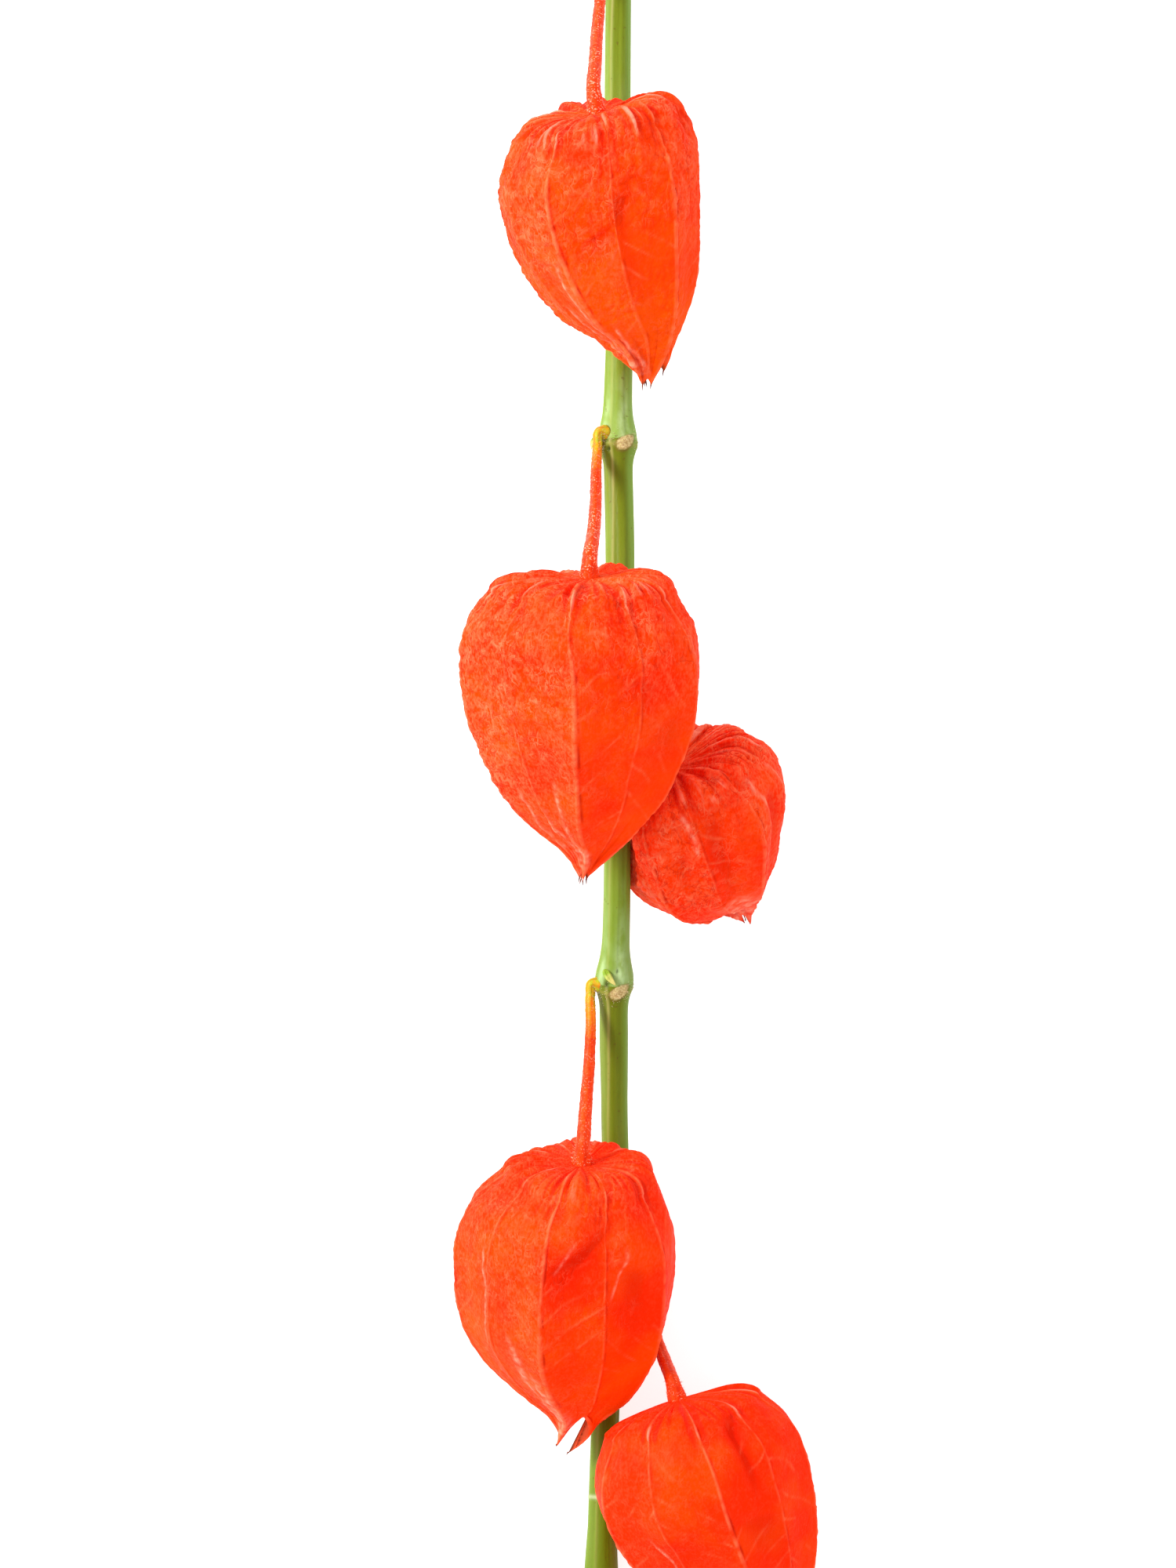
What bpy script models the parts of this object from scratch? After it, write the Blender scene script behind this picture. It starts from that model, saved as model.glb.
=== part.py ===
"""A cut stem of the Chinese lantern plant (physalis), laid down on a table: one green stem, five
thin stalks that grow from its joints, five papery husks and two small buds.

Lengths are in millimetres until new_object() turns them into metres. The stem runs along Y with
its upper end towards +Y, the husks point towards -Y, +Z is up and the table is at z = 0. The
origin is the middle of the whole object's footprint, on the table.
"""

import math

import bpy
import numpy as np

MM = 0.001  # metres in a millimetre
GAP = 0.3  # clear space between two neighbouring pieces

# The stem's centre line from its cut upper end to its cut lower end. It arches over the third
# husk and lies on the table at both ends.
STEM_ROUTE = [
    (-3.5, 194.8, 2.4),
    (-3.5, 182.5, 3.7),
    (-3.7, 157.0, 6.5),
    (-3.7, 130.0, 9.5),
    (-3.3, 104.0, 12.5),
    (-3.8, 77.5, 15.5),
    (-3.4, 55.5, 19.5),
    (-3.5, 22.5, 21.8),
    (-3.9, -5.5, 20.6),
    (-4.1, -22.0, 18.2),
    (-4.5, -33.5, 15.4),
    (-4.4, -58.0, 8.6),
    (-4.0, -89.5, 3.6),
    (-6.1, -120.0, 3.0),
    (-6.8, -141.0, 3.1),
    (-7.3, -168.0, 3.5),
    (-7.3, -194.8, 3.4),
]
# Stem radius against Y, between its joints.
STEM_RADIUS = [(194.8, 2.55), (104, 2.75), (85, 2.95), (55, 3.0), (0, 2.7), (-20, 2.8),
               (-45, 2.95), (-58, 2.75), (-110, 2.8), (-147, 2.95), (-157, 3.55), (-194.8, 3.5)]
JOINTS_Y = [182.5, 130.0, 77.5, 22.5, -33.5, -89.5]  # where a leaf pair and a stalk grew
JOINT_SWELLING = 1.15  # added to the radius at a joint
SWELLING_ABOVE, SWELLING_BELOW = 4.5, 3.0  # how far the swelling runs out along the stem
STEM_SIDES, STEM_STEP = 14, 4.5

# A husk's outline: how far it reaches to the left and to the right of the line from its stalk to
# its tip, at these shares of that line. It closes to a point at the tip.
HUSK_SHARES = (0.05, 0.15, 0.30, 0.45, 0.60, 0.70, 0.80, 0.90)
HUSK_CAP_RINGS, HUSK_SIDE_RINGS, HUSK_SPOKES = 5, 15, 40
LESSER_RIB = 0.965  # radius on the five ribs between the five main ones
FACE_FULLNESS = 0.45  # 0 is flat between two ribs, 1 is round
HOLLOW_RADIUS = 12.0  # curve of the hollow that the stem presses into a husk
HOLLOW_CLEARANCE = 0.8  # clear space between the stem and the hollow

# base is where the stalk joins, shoulders how far the husk rises round it on the left and on the
# right, and first_rib the angle of a main rib round the husk in degrees, from its right side
# over its top.
HUSKS = {
    "lantern_1": dict(base=(-8.0, 143.1, 33.0), tip=(2.2, 88.1, 21.0), half_depth=18.5,
                      left=(18.0, 21.3, 22.2, 20.9, 17.5, 13.8, 7.4, 3.0),
                      right=(17.9, 18.9, 18.0, 16.5, 14.4, 12.3, 8.8, 4.6),
                      shoulders=(1.8, 3.4), first_rib=122.0),
    "lantern_2": dict(base=(-9.6, 48.6, 46.0), tip=(-11.0, -12.2, 33.0), half_depth=20.5,
                      left=(20.3, 24.2, 24.8, 23.2, 19.4, 16.0, 10.6, 3.3),
                      right=(17.6, 21.2, 22.5, 21.6, 18.4, 15.6, 11.0, 5.4),
                      shoulders=(0.6, 3.0), first_rib=96.0),
    "lantern_3": dict(base=(7.1, 10.4, 22.5), tip=(23.0, -21.2, 3.0), half_depth=17.0,
                      left=(16.0, 17.8, 18.6, 18.4, 16.8, 14.2, 9.4, 2.8),
                      right=(17.6, 19.5, 20.0, 18.4, 15.0, 12.1, 8.2, 3.8),
                      shoulders=(1.0, 1.0), first_rib=60.0),
    "lantern_4": dict(base=(-11.2, -70.1, 27.0), tip=(-15.7, -128.7, 9.0), half_depth=21.5,
                      left=(16.2, 21.2, 23.7, 23.2, 21.0, 16.8, 10.2, 2.9),
                      right=(15.6, 18.5, 20.0, 19.8, 18.4, 16.1, 13.0, 8.4),
                      shoulders=(2.0, 3.0), first_rib=103.0),
    "lantern_5": dict(base=(8.4, -118.6, 22.5), tip=(25.1, -178.7, 12.0), half_depth=20.5,
                      left=(16.8, 20.2, 21.0, 17.9, 13.0, 9.8, 6.4, 2.9),
                      right=(18.0, 20.8, 21.4, 20.6, 18.4, 15.6, 11.4, 5.6),
                      shoulders=(-1.2, 0.3), first_rib=82.5),
}

# Each stalk: the stem joint it grows from, points of its route, and the husk it holds.
STALKS = {
    "stalk_1": (0, [(-7.0, 177.7, 8.0), (-7.4, 168.7, 14.5), (-8.0, 161.5, 20.5),
                    (-8.4, 154.0, 28.0)], "lantern_1"),
    "stalk_2": (2, [(-8.1, 76.4, 19.2), (-8.2, 71.3, 24.5), (-8.3, 64.5, 32.0),
                    (-8.8, 57.5, 40.5)], "lantern_2"),
    "stalk_3": (3, [(2.2, 20.5, 22.4)], "lantern_3"),
    "stalk_4": (4, [(-9.8, -35.8, 17.1), (-9.4, -41.5, 18.2), (-9.6, -49.0, 20.0),
                    (-10.2, -57.0, 23.5)], "lantern_4"),
    "stalk_5": (5, [(1.2, -95.0, 4.5), (3.2, -104.0, 7.0), (5.0, -109.3, 12.0),
                    (6.3, -112.3, 17.5)], "lantern_5"),
}
STALK_RADIUS_AT_STEM, STALK_RADIUS_AT_HUSK = 0.9, 1.5
STALK_STRAIGHT = 3.5  # the stalk's last stretch is in line with its husk
STALK_SIDES, STALK_RINGS = 10, 18

# Buds in the angle above a stalk: stem joint, direction from the stem, half length, half width.
BUDS = {
    "axil_bud_upper": (2, (-0.95, 0.0, 0.30), 1.4, 0.7),
    "axil_bud_lower": (4, (-0.10, 0.0, 1.0), 1.8, 0.8),
}
BUD_SIDES, BUD_RINGS = 10, 8

GREEN, OLIVE = (0.33, 0.42, 0.07), (0.42, 0.48, 0.12)
ORANGE_RED, STALK_RED = (0.95, 0.09, 0.015), (0.86, 0.12, 0.05)


def clear_objects():
    for obj in list(bpy.data.objects):
        bpy.data.objects.remove(obj)


def unit(vector):
    vector = np.asarray(vector, float)
    return vector / np.linalg.norm(vector)


def smooth_through(points, count):
    """count points on a smooth curve through the given ones, evenly spaced by chord length. Each
    span is a cubic with the neighbouring points' mean slope at its ends."""
    points = np.asarray(points, float)
    steps = np.linalg.norm(np.diff(points, axis=0), axis=1)
    at = np.concatenate([[0.0], np.cumsum(steps)])
    slope = np.gradient(points, at, axis=0)
    wanted = np.linspace(0.0, at[-1], count)
    span = np.clip(np.searchsorted(at, wanted, side="right") - 1, 0, len(points) - 2)
    width = (at[span + 1] - at[span])[:, None]
    t = (wanted - at[span])[:, None] / width
    start, end = points[span], points[span + 1]
    out, into = slope[span] * width, slope[span + 1] * width
    return ((2 * t**3 - 3 * t**2 + 1) * start + (t**3 - 2 * t**2 + t) * out
            + (3 * t**2 - 2 * t**3) * end + (t**3 - t**2) * into)


def stem_radius(y):
    """Radius between joints, plus a swelling at each joint that fades slowly above it and
    quickly below it."""
    places, radii = zip(*STEM_RADIUS[::-1])
    radius = np.interp(y, places, radii)
    for joint in JOINTS_Y:
        away = y - joint
        reach = np.where(away > 0, SWELLING_ABOVE, SWELLING_BELOW)
        radius = radius + JOINT_SWELLING * np.exp(-((away / reach) ** 2))
    return radius


def tube_rings(route, radii, sides):
    """A ring of points round each point of the route, square to it."""
    along = np.gradient(route, axis=0)
    along /= np.linalg.norm(along, axis=1)[:, None]
    across = np.cross(along, (0.0, 0.0, 1.0))
    across /= np.linalg.norm(across, axis=1)[:, None]
    over = np.cross(across, along)
    angle = np.linspace(0, 2 * math.pi, sides, endpoint=False) - math.pi / 2
    rim = (np.cos(angle)[None, :, None] * across[:, None]
           + np.sin(angle)[None, :, None] * over[:, None])
    return route[:, None] + rim * np.asarray(radii)[:, None, None]


def new_object(name, rings, start, end, colour, roughness):
    """A closed solid from rings of points, closed by a fan to the start and the end point."""
    count, sides = rings.shape[:2]
    corners = np.vstack([rings.reshape(-1, 3), start, end]) * MM
    first, last = count * sides, count * sides + 1
    faces = []
    for k in range(sides):
        after = (k + 1) % sides
        faces.append((first, k, after))
        faces.append((last, (count - 1) * sides + after, (count - 1) * sides + k))
        for j in range(count - 1):
            a, b = j * sides + k, j * sides + after
            faces.append((a, a + sides, b + sides, b))
    mesh = bpy.data.meshes.new(name)
    mesh.from_pydata(corners.tolist(), [], faces)
    mesh.shade_smooth()
    mesh.set_sharp_from_angle(angle=math.radians(50))
    mesh.materials.append(new_material(name, colour, roughness))
    obj = bpy.data.objects.new(name, mesh)
    bpy.context.scene.collection.objects.link(obj)


def new_material(name, colour, roughness):
    material = bpy.data.materials.new(name)
    material.use_nodes = True
    shader = material.node_tree.nodes["Principled BSDF"]
    shader.inputs["Base Color"].default_value = (*colour, 1.0)
    shader.inputs["Roughness"].default_value = roughness
    shader.inputs["Metallic"].default_value = 0.0
    return material


def stem_line():
    length = abs(STEM_ROUTE[0][1] - STEM_ROUTE[-1][1])
    return smooth_through(STEM_ROUTE, int(length / STEM_STEP))


def make_stem():
    route = stem_line()
    rings = tube_rings(route, stem_radius(route[:, 1]), STEM_SIDES)
    rings[:, :, 2] = np.maximum(rings[:, :, 2], 0.0)
    new_object("main_stem", rings, route[0], route[-1], GREEN, 0.45)


def husk_axes(husk):
    """Unit vectors along the husk from stalk to tip, to its right side, and over its top."""
    along = unit(np.subtract(husk["tip"], husk["base"]))
    right = unit(np.cross((0.0, 0.0, 1.0), along))
    return along, right, np.cross(along, right)


def husk_outline(husk):
    """Rows of (share of the length, reach to the left, reach to the right) from the stalk to the
    tip. The cap round the stalk is a quarter ellipse, and a smooth curve goes on to the tip."""
    length = np.linalg.norm(np.subtract(husk["tip"], husk["base"]))
    share = np.array([*HUSK_SHARES, 1.0])
    reach = np.array([[*husk["left"], 0.0], [*husk["right"], 0.0]])
    side = smooth_through(np.column_stack([share * length, *reach]), HUSK_SIDE_RINGS + 1)
    quarter = np.linspace(0, math.pi / 2, HUSK_CAP_RINGS + 1)[1:-1, None]
    cap = side[0] * np.hstack([1 - np.cos(quarter), np.sin(quarter), np.sin(quarter)])
    return np.vstack([cap, side[:-1]])


def husk_section(angle, first_rib):
    """Section of a husk round its middle, from -1 to 1 across and over: a main rib every 72
    degrees with a lesser one between, and faces partway from the flat to the round."""
    from_main = angle - math.radians(first_rib)
    rib = (1 + LESSER_RIB) / 2 + (1 - LESSER_RIB) / 2 * np.cos(5 * from_main)
    half_face = math.pi / 10
    from_middle = np.mod(from_main, 2 * half_face) - half_face
    flat = math.cos(half_face) / np.cos(from_middle)
    radius = rib * (FACE_FULLNESS + (1 - FACE_FULLNESS) * flat)
    section = radius[:, None] * np.column_stack([np.cos(angle), np.sin(angle)])
    low, high = section.min(axis=0), section.max(axis=0)
    return (2 * section - low - high) / (high - low)


def press_round(offset, centres, axes, line, radius):
    """Shortens each offset from the husk's centre line to stay clear of a stem or stalk, in a
    smooth hollow. A circle of HOLLOW_RADIUS that touches the stem's near side bounds it."""
    along, right, over = axes
    heading = np.gradient(line, axis=0)
    slant = abs(heading @ along) / np.linalg.norm(heading, axis=1)
    order = np.argsort(line @ along)
    place, station = (line @ along)[order], centres @ along
    near = np.stack([np.interp(station, place, line[order, k]) for k in range(3)], axis=1)
    cut_radius = np.interp(station, place, (radius / slant)[order])
    across, up = (near - centres) @ right, (near - centres) @ over
    centre = np.hypot(across, up) - cut_radius - HOLLOW_CLEARANCE + HOLLOW_RADIUS
    turn = np.arctan2(offset @ over, offset @ right) - np.arctan2(up, across)[:, None]
    inside = HOLLOW_RADIUS**2 - (centre[:, None] * np.sin(turn)) ** 2
    limit = centre[:, None] * np.cos(turn) - np.sqrt(np.maximum(inside, 0.0))
    size = np.linalg.norm(offset, axis=2)
    reached = ((station > place[0]) & (station < place[-1]))[:, None]
    touched = reached & (inside > 0) & (np.cos(turn) > 0) & (size > limit)
    share = np.where(touched, limit / np.maximum(size, 1e-9), 1.0)
    return offset * share[:, :, None]


def husk_rings(husk):
    """The husk's centre line, and the offsets from it to each ring of its surface."""
    along, right, over = husk_axes(husk)
    station, left_reach, right_reach = husk_outline(husk).T
    half_width = (left_reach + right_reach) / 2
    half_depth = husk["half_depth"] * half_width / half_width.max()
    angle = np.linspace(0, 2 * math.pi, HUSK_SPOKES, endpoint=False)
    section = husk_section(angle + math.radians(husk["first_rib"]), husk["first_rib"])
    bow = (right_reach - left_reach) / 2
    centres = np.asarray(husk["base"]) + station[:, None] * along + bow[:, None] * right
    offset = (np.outer(half_width, section[:, 0])[:, :, None] * right
              + np.outer(half_depth, section[:, 1])[:, :, None] * over)
    return centres, offset


def shoulder_rise(husk, count):
    """How far each ring and spoke of the cap rises against the husk's length: most at half of
    the cap's width, and turning from the left shoulder's rise to the right one's."""
    ring = np.arange(1, count + 1) / HUSK_CAP_RINGS
    bump = np.where(ring < 1.1, np.sin(math.pi * np.minimum(ring / 1.1, 1.0)) ** 2, 0.0)
    angle = np.linspace(0, 2 * math.pi, HUSK_SPOKES, endpoint=False)
    turn = np.cos(angle + math.radians(husk["first_rib"]))
    left, right = husk["shoulders"]
    return np.outer(bump, (left + right) / 2 + (right - left) / 2 * turn)


def make_husk(name, husk, obstacles):
    axes = husk_axes(husk)
    centres, offset = husk_rings(husk)
    for line, radius in obstacles:
        offset = press_round(offset, centres, axes, line, radius)
    rise = shoulder_rise(husk, len(centres))
    rings = centres[:, None] + offset - rise[:, :, None] * axes[0]
    rings[:, :, 2] = np.maximum(rings[:, :, 2], 0.0)
    new_object(name, rings[:, ::-1], husk["base"], husk["tip"], ORANGE_RED, 0.5)


def stalk_line(name):
    """The stalk's route, from just off the stem's side to just off the husk's drawn-in base."""
    joint, middle, husk_name = STALKS[name]
    stem = stem_line()
    root = stem[np.argmin(abs(stem[:, 1] - JOINTS_Y[joint]))]
    husk = HUSKS[husk_name]
    outward = unit(np.subtract(middle[0], root) * (1.0, 0.0, 1.0))
    start = root + outward * (stem_radius(root[1]) + GAP + 0.15)
    base, along = np.asarray(husk["base"]), husk_axes(husk)[0]
    route = [start, start + outward, *middle, base - along * STALK_STRAIGHT, base - along * 3 * GAP]
    return smooth_through(route, STALK_RINGS)


def stalk_radius(count):
    return np.linspace(STALK_RADIUS_AT_STEM, STALK_RADIUS_AT_HUSK, count)


def make_stalk(name):
    route = stalk_line(name)
    rings = tube_rings(route, stalk_radius(len(route)), STALK_SIDES)
    new_object(name, rings, route[0], route[-1], STALK_RED, 0.5)


def make_bud(name):
    """A small pointed bud, widest in its lower third, that lies against the joint."""
    joint, direction, half_length, half_width = BUDS[name]
    stem = stem_line()
    root = stem[np.argmin(abs(stem[:, 1] - JOINTS_Y[joint]))]
    out = unit(direction)
    middle = root + out * (stem_radius(root[1]) + GAP + half_width)
    share = np.linspace(0, 1, BUD_RINGS + 2)
    route = middle + (share[:, None] - 0.5) * (2 * half_length * np.array((0.0, -1.0, 0.0)))
    radii = half_width * np.sin(math.pi * share**0.7)
    rings = tube_rings(route, radii, BUD_SIDES)[1:-1]
    new_object(name, rings, route[0], route[-1], OLIVE, 0.5)


def main():
    clear_objects()
    make_stem()
    stem = stem_line()
    crossing_stalk = stalk_line("stalk_5")
    obstacles = [(stem, stem_radius(stem[:, 1])),
                 (crossing_stalk, stalk_radius(len(crossing_stalk)))]
    for name, husk in HUSKS.items():
        make_husk(name, husk, obstacles if name != "lantern_5" else obstacles[:1])
    for name in STALKS:
        make_stalk(name)
    for name in BUDS:
        make_bud(name)


main()
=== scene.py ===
import math

import bpy
import numpy as np
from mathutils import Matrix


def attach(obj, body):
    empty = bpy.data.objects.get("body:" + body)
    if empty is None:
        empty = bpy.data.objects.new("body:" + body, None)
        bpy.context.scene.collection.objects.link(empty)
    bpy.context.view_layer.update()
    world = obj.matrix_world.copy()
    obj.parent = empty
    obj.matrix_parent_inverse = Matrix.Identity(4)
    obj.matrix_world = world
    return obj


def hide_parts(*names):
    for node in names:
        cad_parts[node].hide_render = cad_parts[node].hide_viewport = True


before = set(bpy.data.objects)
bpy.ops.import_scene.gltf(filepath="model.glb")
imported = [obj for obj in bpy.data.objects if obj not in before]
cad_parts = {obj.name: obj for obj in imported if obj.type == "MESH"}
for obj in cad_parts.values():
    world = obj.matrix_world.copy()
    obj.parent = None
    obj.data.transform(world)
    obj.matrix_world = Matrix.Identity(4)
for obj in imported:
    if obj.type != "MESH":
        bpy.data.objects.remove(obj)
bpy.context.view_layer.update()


# ---- Main stem -------------------------------------------------------------------------------
# The stem is a green shoot, cut at both ends and stripped of its leaves. It swells at each joint,
# where a leaf pair has left a beige scar, and is faintly ridged and striped along its length.
# Sizes are in millimetres, and a mesh is turned into metres when it is made.

MM = 0.001
table_top = 0.02  # the lowest that a skin reaches, just clear of the table
stem_route = [
    (-3.5, 194.8, 2.4), (-3.5, 182.5, 3.7), (-3.7, 157.0, 6.5), (-3.7, 130.0, 9.5),
    (-3.3, 104.0, 12.5), (-3.8, 77.5, 15.5), (-3.4, 55.5, 19.5), (-3.5, 22.5, 21.8),
    (-3.9, -5.5, 20.6), (-4.1, -22.0, 18.2), (-4.5, -33.5, 15.4), (-4.4, -58.0, 8.6),
    (-4.0, -89.5, 3.6), (-6.1, -120.0, 3.0), (-6.8, -141.0, 3.1), (-7.3, -168.0, 3.5),
    (-7.3, -194.8, 3.4),
]
stem_radii = [(194.8, 2.55), (104, 2.75), (85, 2.95), (55, 3.0), (0, 2.7), (-20, 2.8),
              (-45, 2.95), (-58, 2.75), (-110, 2.8), (-147, 2.95), (-157, 3.55), (-194.8, 3.5)]
joints = [182.5, 130.0, 77.5, 22.5, -33.5, -89.5]
joint_swelling, swelling_above, swelling_below = 1.15, 4.5, 3.0
# Scars and hollows are given by their place along the stem and the degrees round it from its
# right side over its top. A hollow's last number is its width.
leaf_scars = [(182.5, 150), (130.0, 40), (77.3, 66), (22.5, 200), (-34.1, 74), (-89.5, 130)]
axil_hollows = [(79.2, 124, 0.75), (75.6, 120, 0.45), (-33.0, 114, 0.8), (-30.4, 80, 0.28)]
pale_ring = -141.0
corner_shift, ridge_line_at = 1.9, 2.05  # radians: from joint to joint, and round the stem
# Bands of painted sheen: a highlight painted into the stem's colour above each joint.
sheens = [(1.2, 0.45, 1.0), (2.35, 0.30, 0.8)]  # (place round the stem, width, strength)
stem_sides, row_step, fine_row_step, fine_row_reach = 84, 1.15, 0.32, 5.5


def reach_along(points):
    """Each point's distance from the first one, along the straight steps between them."""
    return np.concatenate([[0.0], np.cumsum(np.linalg.norm(np.diff(points, axis=0), axis=1))])


def smooth_through(points, count):
    """count points on a smooth curve through the given ones, evenly spaced by chord length. Each
    span is a cubic with the neighbouring points' mean slope at its ends."""
    points = np.asarray(points, float)
    at = reach_along(points)
    slope = np.gradient(points, at, axis=0)
    wanted = np.linspace(0.0, at[-1], count)
    span = np.clip(np.searchsorted(at, wanted, side="right") - 1, 0, len(points) - 2)
    width = (at[span + 1] - at[span])[:, None]
    t = (wanted - at[span])[:, None] / width
    start, end = points[span], points[span + 1]
    out, into = slope[span] * width, slope[span + 1] * width
    return ((2 * t**3 - 3 * t**2 + 1) * start + (t**3 - 2 * t**2 + t) * out
            + (3 * t**2 - 2 * t**3) * end + (t**3 - t**2) * into)


def smooth_step(low, high, value):
    """0 below low, 1 above high, and the cubic 3t^2 - 2t^3 between them."""
    t = np.clip((value - low) / (high - low), 0.0, 1.0)
    return t * t * (3 - 2 * t)


def bell(away, width):
    """1 where away is 0, and less on both sides of it: exp of minus (away / width) squared."""
    return np.exp(-((away / width) ** 2))


def nearest_turn(angle):
    """The same angle, brought to within half a turn of 0."""
    return np.angle(np.exp(1j * angle))


def turns(count):
    """count even turns round a line, as one row."""
    return np.linspace(0, 2 * math.pi, count, endpoint=False)[None]


def line_frame(route):
    """Unit vectors along a line, to its right (level, square to it) and over it."""
    along = np.gradient(route, axis=0)
    along /= np.linalg.norm(along, axis=1)[:, None]
    right = np.cross((0.0, 0.0, 1.0), along)
    right /= np.linalg.norm(right, axis=1)[:, None]
    return along, right, np.cross(along, right)


def ways_out(turn, right, over):
    """Unit vectors square to a line: the turn's cosine to its right plus its sine over it."""
    return np.cos(turn)[:, :, None] * right[:, None] + np.sin(turn)[:, :, None] * over[:, None]


def place_round(turn, size, third):
    """Places on a circle of the given size, and a third value: noise read there closes up round
    the piece."""
    return np.stack(np.broadcast_arrays(size * np.cos(turn), size * np.sin(turn), third), axis=2)


def cell_value(cell, seed):
    """A fixed number from 0 to 1 for each whole-number cell: the low bits of a product hash."""
    mixed = (cell * np.array((73856093, 19349663, 83492791))).sum(axis=-1) + seed * 961748941
    mixed = (mixed ^ (mixed >> 13)) * 1274126177
    mixed = (mixed ^ (mixed >> 16)) * 668265263
    return ((mixed >> 8) & 0xFFFF) / 65535.0


def cloud(points, seed):
    """Soft noise from -1 to 1: every corner of a unit lattice has a value, and smooth steps blend
    the eight corners round a point."""
    base = np.floor(points).astype(np.int64)
    part = points - base
    part = part * part * (3 - 2 * part)
    total = np.zeros(points.shape[:-1])
    for corner in np.ndindex(2, 2, 2):
        weight = np.where(corner, part, 1 - part).prod(axis=-1)
        total += weight * cell_value(base + corner, seed)
    return 2 * total - 1


def cell_edges(points, seed):
    """Distance to the second nearest minus the nearest of a set of scattered points, one in each
    cell of a unit lattice: 0 on the borders of the patches round them, about 1 in the middle."""
    base = np.floor(points).astype(np.int64)
    nearest = np.full(points.shape[:-1], 9.0)
    second = nearest.copy()
    for step in np.ndindex(3, 3, 3):
        cell = base + step - 1
        spot = cell + np.stack([cell_value(cell, seed + k) for k in range(3)], axis=-1)
        away = np.linalg.norm(points - spot, axis=-1)
        second = np.minimum(second, np.maximum(nearest, away))
        nearest = np.minimum(nearest, away)
    return second - nearest


def grid_normals(grid):
    """Outward unit normals of a grid of points whose columns run round it: the cross product of
    the steps round it and along it."""
    around = np.roll(grid, -1, axis=1) - np.roll(grid, 1, axis=1)
    forward = np.gradient(grid, axis=0)
    normal = np.cross(around, forward)
    return normal / np.maximum(np.linalg.norm(normal, axis=2), 1e-9)[:, :, None]


def add_object(name, data):
    obj = bpy.data.objects.new(name, data)
    bpy.context.scene.collection.objects.link(obj)
    return obj


def write_mask(mesh, name, values):
    """One value for each point, under the name by which a material reads it."""
    mesh.attributes.new(name, "FLOAT", "POINT").data.foreach_set("value", values.astype("f4"))


def grid_object(name, grid, ends, masks):
    """A smooth closed mesh from a grid of points that runs round and along, closed by a fan to
    each of the two end points. masks are values per point that the material reads."""
    rows, sides = grid.shape[:2]
    index = np.arange(rows * sides).reshape(rows, sides)
    after = np.roll(index, -1, axis=1)
    quads = np.stack([index[:-1], after[:-1], after[1:], index[1:]], axis=-1).reshape(-1, 4)
    first, last = rows * sides, rows * sides + 1
    fans = [np.column_stack([np.full(sides, first), after[0], index[0]]),
            np.column_stack([np.full(sides, last), index[-1], after[-1]])]
    corners = np.concatenate([quads.ravel(), *(fan.ravel() for fan in fans)])
    sizes = np.concatenate([np.full(len(quads), 4), np.full(2 * sides, 3)])
    points = np.vstack([grid.reshape(-1, 3), *ends]) * MM
    mesh = bpy.data.meshes.new(name)
    mesh.vertices.add(len(points))
    mesh.vertices.foreach_set("co", points.ravel())
    mesh.loops.add(len(corners))
    mesh.loops.foreach_set("vertex_index", corners.astype(np.int32))
    mesh.polygons.add(len(sizes))
    mesh.polygons.foreach_set("loop_start", np.concatenate([[0], np.cumsum(sizes)[:-1]]))
    mesh.update(calc_edges=True)
    mesh.shade_smooth()
    for mask, values in masks.items():
        values = np.broadcast_to(values, (rows, sides))
        at_ends = [values[0].mean(), values[-1].mean()]
        write_mask(mesh, mask, np.concatenate([values.ravel(), at_ends]))
    return add_object(name, mesh)


def stem_radius(y):
    """Radius between joints, plus a swelling at each joint that fades slowly above it and
    quickly below it."""
    places, radii = zip(*stem_radii[::-1])
    radius = np.interp(y, places, radii)
    for joint in joints:
        away = y - joint
        reach = np.where(away > 0, swelling_above, swelling_below)
        radius = radius + joint_swelling * bell(away, reach)
    return radius


def rows_close_to(places, start, end):
    """Places from start to end, fine steps apart near the given places and coarse ones away."""
    dense = np.linspace(start, end, 4000)
    near = sum(bell(dense - place, fine_row_reach) for place in places)
    rate = 1 / row_step + np.minimum(near, 1.0) / fine_row_step
    steps = np.concatenate([[0.0], np.cumsum((rate[1:] + rate[:-1]) / 2 * abs(np.diff(dense)))])
    return np.interp(np.linspace(0, steps[-1], int(steps[-1])), steps, dense)


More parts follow.
